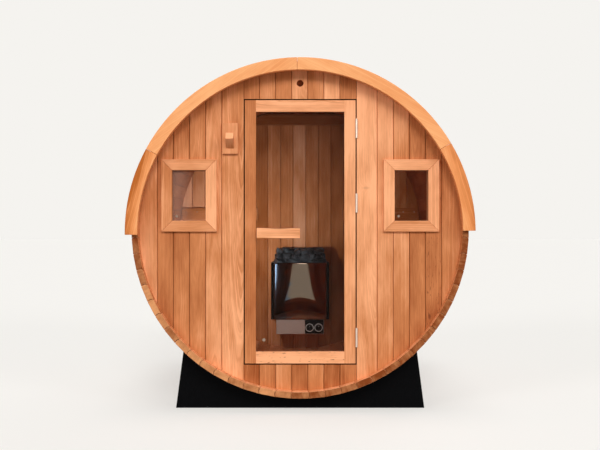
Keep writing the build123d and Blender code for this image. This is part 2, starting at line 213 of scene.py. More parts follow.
def knot_patterns(tree):
    """How far a board's knot pushes its year lines aside, and how much of its dark heart shows."""
    knot = add(tree, "Attribute", {"attribute_name": "knot"}, output="Vector")
    radius = add(tree, "SeparateXYZ", inputs={0: knot}, output="Z")
    radius = add(tree, "Math", {"operation": "MAXIMUM"}, {0: radius, 1: 0.0001})
    flat = add(tree, "VectorMath", MULTIPLY, {0: knot, 1: (1, 1, 0)})
    far = add(tree, "VectorMath", {"operation": "LENGTH"}, {0: flat}, "Value")
    ratio = add(tree, "Math", {"operation": "DIVIDE"}, {0: far, 1: radius})
    # The push is most at the knot's middle, and fades over four times its radius.
    push = add(tree, "MapRange", SMOOTH, {0: ratio, 1: 0.6, 2: 4.5, 3: 0.016, 4: 0.0})
    heart = add(tree, "MapRange", SMOOTH, {0: ratio, 1: 0.5, 2: 1.3, 3: 0.85, 4: 0.0})
    # A wide knot is a burl: its grain swirls, but its heart is hardly darker than the board.
    burl = add(tree, "MapRange", SMOOTH, {0: radius, 1: 0.009, 2: 0.018, 3: 1.0, 4: 0.22})
    return push, add(tree, "Math", MULTIPLY, {0: heart, 1: burl})


def cedar_planed(name, dark, middle, light):
    """Planed red cedar under a thin oil: soft year lines, fine pores along the boards and a faint sheen.

    The boards carry their own grain coordinates, in metres along, across and through the board from
    the heart of the tree, so year lines bend and end grain shows rings where the wood would.
    """
    material, tree, shader = new_material(name, {"Roughness": 0.58, "Specular IOR Level": 0.2})
    grain = add(tree, "Attribute", {"attribute_name": "grain"}, output="Vector")
    board = add(tree, "Attribute", {"attribute_name": "board"}, output="Vector").node.outputs
    tone, end_mask, figure = add(tree, "SeparateXYZ", inputs={0: board["Vector"]}).node.outputs
    knot_push, knot_heart = knot_patterns(tree)

    # The trunk is never straight: the year lines wander by about 10 mm over half a metre.
    slow = add(tree, "VectorMath", MULTIPLY, {0: grain, 1: (1.7, 8.0, 8.0)})
    wander = add(tree, "TexNoise", ALL_WAYS, {"Vector": slow, "Scale": 1.0, "Detail": 3.0}, "Color")
    shifted = add(tree, "VectorMath", MULTIPLY_ADD, {0: wander, 1: (0.0, 0.009, 0.009), 2: grain})
    from_heart = add(tree, "VectorMath", MULTIPLY, {0: shifted, 1: (0, 1, 1)})
    from_heart = add(tree, "VectorMath", {"operation": "LENGTH"}, {0: from_heart}, "Value")
    from_heart = add(tree, "Math", {"operation": "ADD"}, {0: from_heart, 1: knot_push})

    # Year lines about 10 mm apart, coarser than cedar's 2 to 3 mm, which would not show from a distance.
    broad_years = {"W": from_heart, "Scale": 95.0, "Detail": 2.0, "Roughness": 0.55}
    years = add(tree, "TexNoise", ONE_WAY, broad_years)
    fine_years = add(tree, "TexNoise", ONE_WAY, {"W": from_heart, "Scale": 380.0, "Detail": 1.0})
    crest = add(tree, "Math", {"operation": "ABSOLUTE"}, {0: years})
    late = add(tree, "MapRange", SMOOTH, {0: crest, 1: 0.0, 2: 0.25, 3: 1.0, 4: 0.0})
    late = add(tree, "Math", MULTIPLY, {0: late, 1: figure})

    # The other patterns are noise drawn out along the fibres. It repeats so many times in a metre
    # along, across and through the board.
    drawn_out = {}
    for pattern, place, repeats, settings, detail in (
        # Broad patches of heartwood colour, 80 mm wide and a quarter of a metre long.
        ("patches", shifted, (3.6, 12.0, 12.0), ALL_WAYS, 3.0),
        # Pores and planing: streaks 3 mm wide and 60 mm long.
        ("pores", shifted, (16.0, 330.0, 330.0), ALL_WAYS, 2.0),
        # Resin flecks: the peaks of a noise 5 mm wide and 30 mm long, so dashes 2 mm by 12 mm.
        ("dashes", shifted, (34.0, 190.0, 190.0), {}, 1.0),
        # Clouds in the end grain, 40 mm wide.
        ("clouds", grain, (0.0, 24.0, 24.0), ALL_WAYS, 2.0),
    ):
        along = add(tree, "VectorMath", MULTIPLY, {0: place, 1: repeats})
        noise = {"Vector": along, "Scale": 1.0, "Detail": detail}
        drawn_out[pattern] = add(tree, "TexNoise", settings, noise)
    flecks = add(tree, "MapRange", SMOOTH, {0: drawn_out["dashes"], 1: 0.66, 2: 0.74, 3: 0.0, 4: 1.0})
    flecks = add(tree, "Math", MULTIPLY, {0: flecks, 1: board["Alpha"]})

    # Each pattern swings about nought, so a board keeps its own tone.
    year_share = add(tree, "Math", MULTIPLY_ADD, {0: figure, 1: 0.17, 2: 0.05})
    shade = tone
    for pattern, share in (
        (years, year_share), (late, -0.28), (drawn_out["patches"], 0.24), (fine_years, 0.07),
        (drawn_out["pores"], 0.09),
    ):
        shade = add(tree, "Math", MULTIPLY_ADD, {0: pattern, 1: share, 2: shade})
    planed = add(tree, "ValToRGB", inputs={0: shade})
    stops = planed.node.color_ramp.elements
    stops[0].color = rgba(dark)
    stops[1].color = rgba(light)
    stops.new(0.5).color = rgba(middle)
    resin = {"Factor": flecks, "A": planed, "B": rgba(hex_colour("6F3516"))}
    planed = add(tree, "Mix", COLOUR, resin)
    knotty = {"Factor": years, "A": rgba(hex_colour("74381A")), "B": rgba(hex_colour("A05A30"))}
    knotty = add(tree, "Mix", COLOUR, knotty)
    planed = add(tree, "Mix", COLOUR, {"Factor": knot_heart, "A": planed, "B": knotty})

    # End grain drinks more oil, so it is darker and richer than the planed faces, in cloudy patches.
    end_shade = add(tree, "Math", MULTIPLY_ADD, {0: drawn_out["clouds"], 1: 0.3, 2: tone})
    end_shade = add(tree, "Math", MULTIPLY_ADD, {0: years, 1: 0.1, 2: end_shade})
    c = colours()
    sawn = {"Factor": end_shade, "A": rgba(c.end_dark), "B": rgba(c.end_light)}
    sawn = add(tree, "Mix", COLOUR, sawn)
    wood = add(tree, "Mix", COLOUR, {"Factor": end_mask, "A": planed, "B": sawn})
    tree.links.new(wood, shader.inputs["Base Color"])
    height = add(tree, "Math", MULTIPLY_ADD, {0: drawn_out["pores"], 1: 0.5, 2: years})
    bump = add(tree, "Bump", inputs={"Strength": 0.2, "Distance": 0.2 * MM, "Height": height})
    tree.links.new(bump, shader.inputs["Normal"])
    return material


def mottled(name, constants, size, base, gains, bump=None, detail=2.0):
    """A finish of one colour at two gains, in spots of a size.

    bump gives the strength and the height of the spots where they stand out in relief.
    """
    material, tree, shader = new_material(name, constants)
    place = add(tree, "TexCoord", output="Object")
    spots = add(tree, "TexNoise", {}, {"Vector": place, "Scale": 0.5 / size, "Detail": detail})
    spots = add(tree, "MapRange", SMOOTH, {0: spots, 1: 0.3, 2: 0.7, 3: 0.0, 4: 1.0})
    first, second = (rgba(base, gain) for gain in gains)
    tint = add(tree, "Mix", COLOUR, {"Factor": spots, "A": first, "B": second})
    tree.links.new(tint, shader.inputs["Base Color"])
    if bump:
        relief = add(tree, "Bump", inputs={"Strength": bump[0], "Distance": bump[1], "Height": spots})
        tree.links.new(relief, shader.inputs["Normal"])
    return material


def polyethylene_sawn(base):
    """Black polyethylene sheet, left as it was sawn: deep black, soft sheen, 3 mm pebbles, pale dust."""
    constants = {"Roughness": 0.55, "Specular IOR Level": 0.03}
    relief = (0.3, 0.3 * MM)
    return mottled("polyethylene_sawn", constants, 3 * MM, base, (0.8, 1.8), relief, detail=5.0)


def foam_moulded():
    """Black closed-cell foam strip: matt, with 1 mm pores that hold no shine."""
    constants = {"Roughness": 0.95, "Specular IOR Level": 0.05}
    return mottled("foam_seal_black", constants, 1 * MM, hex_colour("0A0806"), (0.7, 2.2), (0.4, 0.3 * MM))


def enamel_baked(base):
    """Black baked enamel on folded sheet steel: even, satin, with an orange peel of 2 mm."""
    constants = {"Roughness": 0.38, "Specular IOR Level": 0.08}
    return mottled("enamel_baked_black", constants, 2 * MM, base, (1.0, 1.8), (0.15, 0.1 * MM))


def frosted_spot():
    """A sandblasted dot on glass: matt and pale, with a soft 1 mm speckle."""
    return mottled("glass_sandblasted", {"Roughness": 0.8}, 1 * MM, hex_colour("93806F"), (0.8, 1.2))


def paint_printed():
    """Screen-printed ink: pale and flat, a little uneven every 4 mm where the squeegee passed."""
    return mottled("ink_printed_pale", {"Roughness": 0.5}, 4 * MM, hex_colour("F4F1EA"), (0.85, 1.05))


def metal(name, base, roughness, grit, brush):
    """Plain or plated steel: smudged from handling in 20 mm patches, and scratched along one way.

    grit is the width of a brush line and brush the direction that lines run in.
    """
    material, tree, shader = new_material(name, {"Metallic": 1.0})
    place = add(tree, "TexCoord", output="Object")
    scale = tuple((1 - 0.97 * part) * 0.5 / grit for part in brush)
    stretched = add(tree, "VectorMath", MULTIPLY, {0: place, 1: scale})
    strokes = add(tree, "TexNoise", ALL_WAYS, {"Vector": stretched, "Scale": 1.0, "Detail": 2.0})
    smudge = add(tree, "TexNoise", ALL_WAYS, {"Vector": place, "Scale": 26.0, "Detail": 3.0})
    lines = add(tree, "Math", MULTIPLY_ADD, {0: strokes, 1: roughness * 0.6, 2: 0.5})
    tint = add(tree, "Mix", COLOUR, {"Factor": lines, "A": rgba(base, 0.82), "B": rgba(base, 1.18)})
    tree.links.new(tint, shader.inputs["Base Color"])
    rough = add(tree, "Math", MULTIPLY_ADD, {0: strokes, 1: roughness * 0.1, 2: roughness})
    rough = add(tree, "Math", MULTIPLY_ADD, {0: smudge, 1: roughness * 0.15, 2: rough})
    tree.links.new(rough, shader.inputs["Roughness"])
    return material


def stainless_polished(cool, warm):
    """Polished stainless sheet: nearly a mirror, faintly smudged, with a painted reflection in its colour,
    blue on the left and straw on the right.
    """
    material, tree, shader = new_material("stainless_polished", {"Metallic": 1.0})
    place = add(tree, "TexCoord", output="Object")
    across = add(tree, "SeparateXYZ", inputs={0: place}, output="X")
    smudge = add(tree, "TexNoise", ALL_WAYS, {"Vector": place, "Scale": 26.0, "Detail": 3.0})
    # The painted reflection turns from blue to straw between 130 and 50 mm left of the barrel's middle.
    painted_reflection_blend = add(tree, "Math", MULTIPLY_ADD, {0: smudge, 1: 0.05, 2: across})
    painted_reflection_blend = add(tree, "MapRange", SMOOTH, {0: painted_reflection_blend, 1: -0.13, 2: -0.05, 3: 0.0, 4: 1.0})
    tint = add(tree, "Mix", COLOUR, {"Factor": painted_reflection_blend, "A": rgba(cool), "B": rgba(warm)})
    tree.links.new(tint, shader.inputs["Base Color"])
    rough = add(tree, "Math", MULTIPLY_ADD, {0: smudge, 1: 0.008, 2: 0.05})
    tree.links.new(rough, shader.inputs["Roughness"])
    return material


# How much of what is behind it a pane hides, clean and under the painted haze of a reflection.
GLASS_VEIL = 0.2
PAINTED_HAZE_VEIL = 0.45


def glass_bronze(tint, painted_haze):
    """Toughened bronze-tinted float glass: a brown veil, sharp gloss, and a pale haze on the left pane that
    is a painted reflection.
    """
    constants = {"Roughness": 0.02, "Specular IOR Level": 0.2}
    material, tree, shader = new_material("glass_bronze_toughened", constants)
    place = add(tree, "TexCoord", output="Object")
    haze = add(tree, "TexNoise", {}, {"Vector": place, "Scale": 3.0, "Detail": 2.0})
    veil = add(tree, "Mix", COLOUR, {"Factor": haze, "A": rgba(tint, 0.8), "B": rgba(tint, 1.2)})
    across = add(tree, "SeparateXYZ", inputs={0: place}, output="X")
    # The painted reflection's haze starts half a metre left of the middle, so it is on the left pane alone.
    across = add(tree, "Math", MULTIPLY_ADD, {0: haze, 1: 0.1, 2: across})
    painted_haze_mask = add(tree, "MapRange", SMOOTH, {0: across, 1: -0.64, 2: -0.5, 3: 1.0, 4: 0.0})
    veil = add(tree, "Mix", COLOUR, {"Factor": painted_haze_mask, "A": veil, "B": rgba(painted_haze)})
    tree.links.new(veil, shader.inputs["Base Color"])
    alpha = add(tree, "MapRange", inputs={0: painted_haze_mask, 3: GLASS_VEIL, 4: PAINTED_HAZE_VEIL})
    tree.links.new(alpha, shader.inputs["Alpha"])
    return material


def stone_split(base):
    """Split dark igneous stone: rough broken faces, 25 mm mottling and a dry dusty sheen.

    Its mineral flecks, 4 mm apart, are drawn coarser than the real ones, so that they show.
    """
    material, tree, shader = new_material("stone_split_dark", {"Roughness": 0.5, "Specular IOR Level": 0.4})
    place = add(tree, "TexCoord", output="Object")
    mottle = add(tree, "TexNoise", {}, {"Vector": place, "Scale": 0.5 / (25 * MM), "Detail": 6.0})
    near = add(tree, "TexVoronoi", {}, {"Vector": place, "Scale": 260.0})
    flecks = add(tree, "MapRange", SMOOTH, {0: near, 1: 0.12, 2: 0.2, 3: 0.35, 4: 0.0})
    patchy = add(tree, "MapRange", SMOOTH, {0: mottle, 1: 0.36, 2: 0.66, 3: 0.0, 4: 1.0})
    body = add(tree, "Mix", COLOUR, {"Factor": patchy, "A": rgba(base, 0.15), "B": rgba(base, 2.1)})
    speckled = {"Factor": flecks, "A": body, "B": rgba(hex_colour("8B8F92"))}
    tree.links.new(add(tree, "Mix", COLOUR, speckled), shader.inputs["Base Color"])
    relief = add(tree, "Bump", inputs={"Strength": 0.6, "Distance": 2 * MM, "Height": mottle})
    tree.links.new(relief, shader.inputs["Normal"])
    return material


def make_materials():
    """Every finish on the sauna, by the name its pieces ask for."""
    c = colours()
    return {
        "cedar": cedar_planed("cedar_planed", c.cedar_dark, c.cedar_middle, c.cedar_light),
        "inside": cedar_planed("cedar_unoiled", c.inside_dark, c.inside_middle, c.inside_light),
        "trim": cedar_planed("cedar_trim_planed", c.trim_dark, c.trim_middle, c.trim_light),
        "plastic": polyethylene_sawn(c.plastic),
        "seal": foam_moulded(),
        # Brush lines are under 0.1 mm wide, and are drawn at 0.8 mm, so that they show.
        "steel": metal("stainless_brushed", c.steel, 0.32, 0.8 * MM, UPRIGHT),
        "mirror": stainless_polished(c.mirror_cool, c.mirror),
        "hinge": metal("nickel_satin", c.hinge, 0.42, 0.8 * MM, UPRIGHT),
        "panel": metal("stainless_dull", c.panel, 0.55, 0.8 * MM, SIDEWAYS),
        "enamel": enamel_baked(c.enamel),
        "glass": glass_bronze(c.glass, c.painted_haze),
        "spot": frosted_spot(),
        "stone": stone_split(c.stone),
        "ink": paint_printed(),
    }


# Every finish by its name, filled when the colours are known.
MATERIALS = {}


# ---- Shapes ----
def finished_mesh(name, bm):
    """Ends a mesh in the making, and gives the finished one."""
    mesh = bpy.data.meshes.new(name)
    bm.to_mesh(mesh)
    bm.free()
    return mesh


def in_scene(name, data):
    """A new object of a mesh, a lamp or a camera, linked to the scene."""
    obj = bpy.data.objects.new(name, data)
    bpy.context.scene.collection.objects.link(obj)
    return obj


def verts_of(result):
    """The vertices among what a bmesh operator made."""
    return [item for item in result["geom"] if isinstance(item, bmesh.types.BMVert)]


def box_mesh(x, y, z):
    """A closed box between three (low, high) pairs."""
    bm = bmesh.new()
    middle = Vector([(a + b) / 2 for a, b in (x, y, z)])
    scale = Matrix.Diagonal(Vector([abs(b - a) for a, b in (x, y, z)])).to_4x4()
    bmesh.ops.create_cube(bm, size=1.0, matrix=Matrix.Translation(middle) @ scale)
    return bm


def slab(points, y):
    """A straight slab along Y whose outline is a list of (x, z) points."""
    bm = bmesh.new()
    face = bm.faces.new([bm.verts.new((px, y[0], pz)) for px, pz in points])
    pulled = bmesh.ops.extrude_face_region(bm, geom=[face])
    bmesh.ops.translate(bm, verts=verts_of(pulled), vec=(0, y[1] - y[0], 0))
    bmesh.ops.recalc_face_normals(bm, faces=bm.faces)
    return bm


# Two faces that meet at more than this angle have an edge worth rounding.
CREASE = 0.35


def ease(bm, offset, edges=None, segments=2):
    """Rounds the given edges, or all of them that are not flat."""
    if edges is None:
        edges = [e for e in bm.edges if len(e.link_faces) == 2 and e.calc_face_angle() > CREASE]
    bmesh.ops.bevel(
        bm, geom=edges, offset=offset, offset_type="OFFSET", segments=segments, profile=0.5,
        affect="EDGES", clamp_overlap=True, material=-1,
    )
    return bm


def rod(start, stop, radius, segments=24, bevel=0.0):
    """A round bar between two points, its rims eased."""
    bm = bmesh.new()
    axis = Vector(stop) - Vector(start)
    turn = axis.to_track_quat("Z", "Y").to_matrix().to_4x4()
    place = Matrix.Translation((Vector(start) + Vector(stop)) / 2) @ turn
    bmesh.ops.create_cone(
        bm, cap_ends=True, segments=segments, radius1=radius, radius2=radius, depth=axis.length, matrix=place
    )
    if bevel:
        rims = [e for e in bm.edges if any(len(f.verts) > 4 for f in e.link_faces)]
        ease(bm, bevel, rims)
    return bm


def join(target, part):
    """Adds one mesh in the making to another."""
    mesh = finished_mesh("part", part)
    target.from_mesh(mesh)
    bpy.data.meshes.remove(mesh)
    return target


def grain_layers(bm):
    """The corner layers that carry grain, board and knot, made if the mesh has none yet."""
    vectors, tints = bm.loops.layers.float_vector, bm.loops.layers.float_color
    return (
        vectors.get("grain") or vectors.new("grain"),
        tints.get("board") or tints.new("board"),
        vectors.get("knot") or vectors.new("knot"),
    )


def timber():
    """An empty mesh in the making that can carry grain."""
    bm = bmesh.new()
    grain_layers(bm)
    return bm


def lay_grain(
    bm, along, tone, rng, flat=0.5, knot=None, face=(0, -1, 0), figure=None, flecks=0.0, end_tone=None
):
    """Writes a board's grain coordinates on its corners.

    along is the direction of the fibres and face the direction its best side looks. tone runs from
    0, dark heartwood, to 1, pale; a pair gives it at the board's start and end, and a rule gives it
    for each place. flat runs from 0, straight year lines, to 1, tall arches, figure says how strong
    they are, and flecks how strong the resin flecks are. knot is the (x, y, z) middle of one knot,
    its radius across the board, and how many times shorter it is along the board. end_tone is the
    tone of the sawn ends, which show end grain only where it is given.
    """
    grain_layer, board_layer, knot_layer = grain_layers(bm)
    along = Vector(along).normalized()
    depth = Vector(face).normalized()
    across = along.cross(depth).normalized()
    centre = sum((v.co for v in bm.verts), Vector()) / len(bm.verts)
    runs = [(v.co - centre).dot(along) for v in bm.verts]
    first, last = min(runs), max(runs)
    tones = tone if isinstance(tone, tuple) else (tone, tone)
    # A board with straight lines is cut beside the heart of the tree, and one with arches over it.
    side = (1 - flat) * rng.choice((-1, 1)) * rng.uniform(0.12, 0.3) + flat * rng.uniform(-0.02, 0.02)
    under = (1 - flat) * rng.uniform(-0.04, 0.04) + flat * rng.uniform(0.03, 0.06)
    lean = rng.choice((-1, 1)) * (0.004 + 0.03 * flat)
    # Each board starts at its own place along an endless trunk, so no two look alike.
    start = rng.uniform(0, 30)
    figure = rng.uniform(0.04, 0.26) if figure is None else figure
    for f in bm.faces:
        is_end = end_tone is not None and abs(f.normal.dot(along)) > 0.8
        for loop in f.loops:
            step = loop.vert.co - centre
            run = step.dot(along)
            share = (run - first) / (last - first)
            if is_end:
                shade = end_tone
            elif callable(tone):
                shade = tone(loop.vert.co)
            else:
                shade = tones[0] + (tones[1] - tones[0]) * share
            loop[grain_layer] = (start + run, side + step.dot(across), under + step.dot(depth) + run * lean)
            loop[board_layer] = (shade, float(is_end), figure, flecks)
            if knot:
                away = loop.vert.co - Vector(knot[0])
                loop[knot_layer] = (away.dot(along) * knot[2], away.dot(across), knot[1])
            else:
                loop[knot_layer] = (1.0, 1.0, 0.0)
    return bm


def piece(name, bm, body, material, nodes=()):
    """Makes an object of a finished mesh, puts it on its body and hides the frame nodes that it stands for.
    """
    mesh = finished_mesh(name, bm)
    mesh.materials.append(MATERIALS[material])
    obj = in_scene(name, mesh)
    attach(obj, body)
    if nodes:
        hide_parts(*nodes)
    return obj


def finish_node(node, material):
    """Gives a frame node whose shape is right its real finish."""
    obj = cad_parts[node]
    obj.data.materials.clear()
    obj.data.materials.append(MATERIALS[material])


# The points of an arc are at most half a stave apart.
ARC_STEP = SEGMENT_HALF_ANGLE / 8


def around(radius, centre_z, start, stop):
    """Points on an arc about a centre on the barrel's middle plane, from one angle to another."""
    count = max(2, math.ceil(abs(stop - start) / ARC_STEP) + 1)
    angles = [start + (stop - start) * i / (count - 1) for i in range(count)]
    return [(radius * math.cos(a), centre_z + radius * math.sin(a)) for a in angles]


# ---- Barrel ----
# How far each stave's edge stands off the middle of its joint, and the steps its rounding has.
STAVE_STAND_OFF = 1.4 * MM
BEAD_STEPS = 8
# How deep under the barrel's radius a stave's outer face still reaches.
OUTER_SKIN = 0.03


def stave_outline(half_angle, bead, up):
    """A stave's end shape about angle 0.

    up is +1 or -1 for a stave whose rounded edge looks that way round, 2 for one rounded on both
    edges and -2 for one hollowed on both.
    """
    points = []
    inner_radius = INNER_RADIUS / math.cos(half_angle)
    for side in (-1, 1):
        bulge = {2: bead, -2: -bead}.get(up, bead * side * up)
        outer, inner = (
            Vector((radius * math.cos(half_angle), side * radius * math.sin(half_angle)))
            for radius in (BARREL_RADIUS, inner_radius)
        )
        out = Vector((-math.sin(half_angle), side * math.cos(half_angle)))
        steps = [i / BEAD_STEPS for i in range(BEAD_STEPS + 1)]
        for t in steps if side == 1 else reversed(steps):
            rise = bulge * (4 * t * (1 - t)) - STAVE_STAND_OFF
            points.append(outer.lerp(inner, t) + out * rise)
    return points


def stave(angle, half_angle, up, tone, rng):
    """One stave, running the whole length of the barrel."""
    size = sizes()
    outline = stave_outline(half_angle, size.bead_depth, up)
    bm = slab([(p.x, p.y) for p in outline], (-BARREL_END, BARREL_END))
    corners = [
        e for e in bm.edges
        if abs(e.verts[0].co.y - e.verts[1].co.y) > BARREL_END and e.calc_face_angle() > 0.9
    ]
    ease(bm, size.stave_round, corners)
    ends = [e for e in bm.edges if any(len(f.verts) > 4 for f in e.link_faces)]
    ease(bm, 1 * MM, ends, segments=1)
    turn = Matrix.Translation((0, 0, AXIS_Z)) @ Matrix.Rotation(-angle, 4, "Y")
    bmesh.ops.transform(bm, matrix=turn, verts=bm.verts)
    face = (math.cos(angle), 0, math.sin(angle))
    # The inner face is palest at the bottom: painted light, where the light through the door falls on the
    # floor.
    # Where it stands out past an end wall it is pale all round, and paler still low down: painted light on
    # the ledge.
    outside = rng.uniform(0.35, 0.8)
    inside = rng.uniform(0.2, 0.55) + 0.4 * min(0, math.sin(angle)) ** 8
    painted_light_ledge = 0.58 + 0.25 * min(0, math.sin(angle)) ** 2
    for cut in (WALL_Y[0], WALL_Y[0] + 4 * MM, REAR_WALL_Y[1] - 4 * MM, REAR_WALL_Y[1]):
        cells = bm.verts[:] + bm.edges[:] + bm.faces[:]
        bmesh.ops.bisect_plane(bm, geom=cells, plane_co=(0, cut, 0), plane_no=(0, 1, 0))

    def rule(place):
        if math.hypot(place.x, place.z - AXIS_Z) > BARREL_RADIUS - OUTER_SKIN:
            return outside
        return inside if WALL_Y[0] + MM < place.y < REAR_WALL_Y[1] - MM else painted_light_ledge

    return lay_grain(bm, LENGTHWAYS, rule, rng, flat=rng.uniform(0.2, 0.9), face=face, end_tone=tone)


# How pale the sawn ends of the staves are on the whole, up to each angle in degrees. The lower left
# has the most sapwood, and the right is nearly all dark heartwood.
STAVE_ENDS = ((192, 0.3), (262, 0.8), (268, 0.55), (290, 0.22), (360, 0.1))


def stave_tone(angle, rng):
    """How pale a stave's sawn end is."""
    degrees = math.degrees(angle) % 360
    mean = next(tone for limit, tone in STAVE_ENDS if degrees <= limit)
    return mean + rng.uniform(-0.14, 0.14) - 0.3 * (mean > 0.6) * (rng.random() < 0.2)


class SAUNA_OT_staves(bpy.types.Operator):
    """Lays the bead-and-cove staves round the barrel, beads upwards on both sides"""

    bl_idname = "sauna.staves"
    bl_label = "Staves"

    def execute(self, context):
        count = sizes().stave_count
        step = math.tau / count
        names = ("right", "upper_right", "top", "upper_left", "left", "lower_left", "bottom", "lower_right")
        rng = random.Random("staves")
        segments = {name: timber() for name in names}
        top, bottom = count // 4, 3 * count // 4
        for i in range(count):
            angle = i * step
            up = 1 if (i < top or i > bottom) else -1
            up = {top: -2, bottom: 2}.get(i, up)
            name = names[int(((angle + SEGMENT_HALF_ANGLE) % math.tau) / (2 * SEGMENT_HALF_ANGLE)) % 8]
            join(segments[name], stave(angle, step / 2, up, stave_tone(angle, rng), rng))
        for name, bm in segments.items():
            piece(f"barrel_staves_{name}", bm, "barrel", "cedar", [f"staves_{name}"])
        return {"FINISHED"}


class SAUNA_OT_bands(bpy.types.Operator):
    """Finishes the steel bands that hold the staves, with their tension bolts"""

    bl_idname = "sauna.bands"
    bl_label = "Bands"

    def execute(self, context):
        finish_node("steel_bands", "steel")
        return {"FINISHED"}


# ---- End walls ----
# The steps that a wall board's curved end has, and how much a plain edge beside the door is eased.
BOARD_STEPS = 6
DOOR_EDGE_ROUND = 0.6 * MM
# The vent is a round hole over the door, so high above the barrel's axis.
VENT_HEIGHT = 0.803
VENT_RADIUS = 19 * MM
# How pale the front wall's boards are from left to right, each at its foot and its top or all over.
# The three boards right of the door grow paler upwards: painted light, brighter towards the upper right.
LEFT_TONES = ((0.72, 0.55), (0.36, 0.44), (0.5, 0.3), (0.42, 0.46), (0.7, 0.56), (0.84, 0.52))
RIGHT_TONES_AND_PAINTED_LIGHT = ((0.68, 0.98), (0.54, 0.84), (0.4, 0.74), (0.42, 0.26), (0.34, 0.34), (0.58, 0.4))
OVER_DOOR_TONES = (0.5, 0.5, 0.44, 0.76, 0.54, 0.78, 0.44)
UNDER_DOOR_TONES = (0.16, 0.4, 0.5, 0.24, 0.42, 0.1, 0.3)


def outward(y):
    """The way out of the barrel at a depth."""
    return (0, -1, 0) if y < 0 else (0, 1, 0)


def uprights(bm, x):
    """The long vertical edges that stand at one place across a board."""
    found = []
    for e in bm.edges:
        a, b = (v.co for v in e.verts)
        upright = abs(a.x - b.x) < 1e-6 and abs(a.y - b.y) < 1e-6 and abs(a.z - b.z) > 0.01
        if upright and abs(a.x - x) < 1e-5:
            found.append(e)
    return found


def wall_board(x, z_low, z_high, y, plain, notch=None):
    """An upright wall board with a V slope along its long edges, front and back.

    plain lists the places where an edge meets no other board, and has no slope.
    """
    size = sizes()
    square = [any(abs(edge - stop) < MM for stop in plain) for edge in x]
    x = tuple(edge + sign * (not flat) * size.joint_gap / 2 for edge, sign, flat in zip(x, (1, -1), square))
    across = [x[0] + (x[1] - x[0]) * i / BOARD_STEPS for i in range(BOARD_STEPS + 1)]
    points = [(px, z_low(px)) for px in across]
    if notch and notch[0] < x[1] < notch[1]:
        points += [(x[1], notch[2]), (notch[0], notch[2]), (notch[0], notch[3]), (x[1], notch[3])]
    points += [(px, z_high(px)) for px in reversed(across)]
    if notch and notch[0] < x[0] < notch[1]:
        points += [(x[0], notch[3]), (notch[1], notch[3]), (notch[1], notch[2]), (x[0], notch[2])]
    bm = slab(points, y)
    for edge, flat in zip(x, square):
        ease(bm, DOOR_EDGE_ROUND if flat else size.groove, uprights(bm, edge), segments=1)
    return bm


def tongue(x, z_low, z_high, y):
    """The tongue that closes a joint between two boards: 6 mm thick, and 5 mm into each."""
    middle = (y[0] + y[1]) / 2
    depth = (middle - 3 * MM, middle + 3 * MM)
    return box_mesh((x - 5 * MM, x + 5 * MM), depth, (z_low(x) + MM, z_high(x) - MM))


def wall_edge(sign):
    """The height of the wall's round edge over a place across it."""
    return lambda x: AXIS_Z + sign * math.sqrt(max(WALL_RADIUS ** 2 - x * x, 1e-8))


def level_edge(height):
    """A level edge, given as wall_edge gives a round one."""
    return lambda x: height


def boards_between(joints, z_low, z_high, y, tones, rng, window=None, looks=None, plain=()):
    """A run of wall boards between a list of joints, with their tongues, cut round a window.

    looks gives some boards, by number, more words for lay_grain, and plain the edges with no slope.
    """
    wall = timber()
    for i, x in enumerate(zip(joints[:-1], joints[1:])):
        look = {"flat": rng.choice((0.15, 0.3, 0.85)), **(looks or {}).get(i, {})}
        heights = [(z_low, z_high)]
        notch = None
        if window and window[0] <= x[0] + MM and x[1] - MM <= window[1]:
            heights = [(z_low, level_edge(window[2])), (level_edge(window[3]), z_high)]
        elif window and window[0] < x[1] and x[0] < window[1]:
            notch = window
        for bottom, top in heights:
            board = wall_board(x, bottom, top, y, plain, notch)
            join(wall, lay_grain(board, UPRIGHT, tones[i], rng, face=outward(y[0]), **look))
        if i and not (window and window[0] < x[0] < window[1]):
            join(wall, lay_grain(tongue(x[0], z_low, z_high, y), UPRIGHT, 0.1, rng))
    return wall


def window_hole(side):
    """The (left, right, bottom, top) of a window's hole in the wall, 10 mm past the sight of its casing."""
    x, _, z = spans(f"{side}_window_casing")
    inset = sizes().casing_width - 10 * MM
    return x[0] + inset, x[1] - inset, z[0] + inset, z[1] - inset


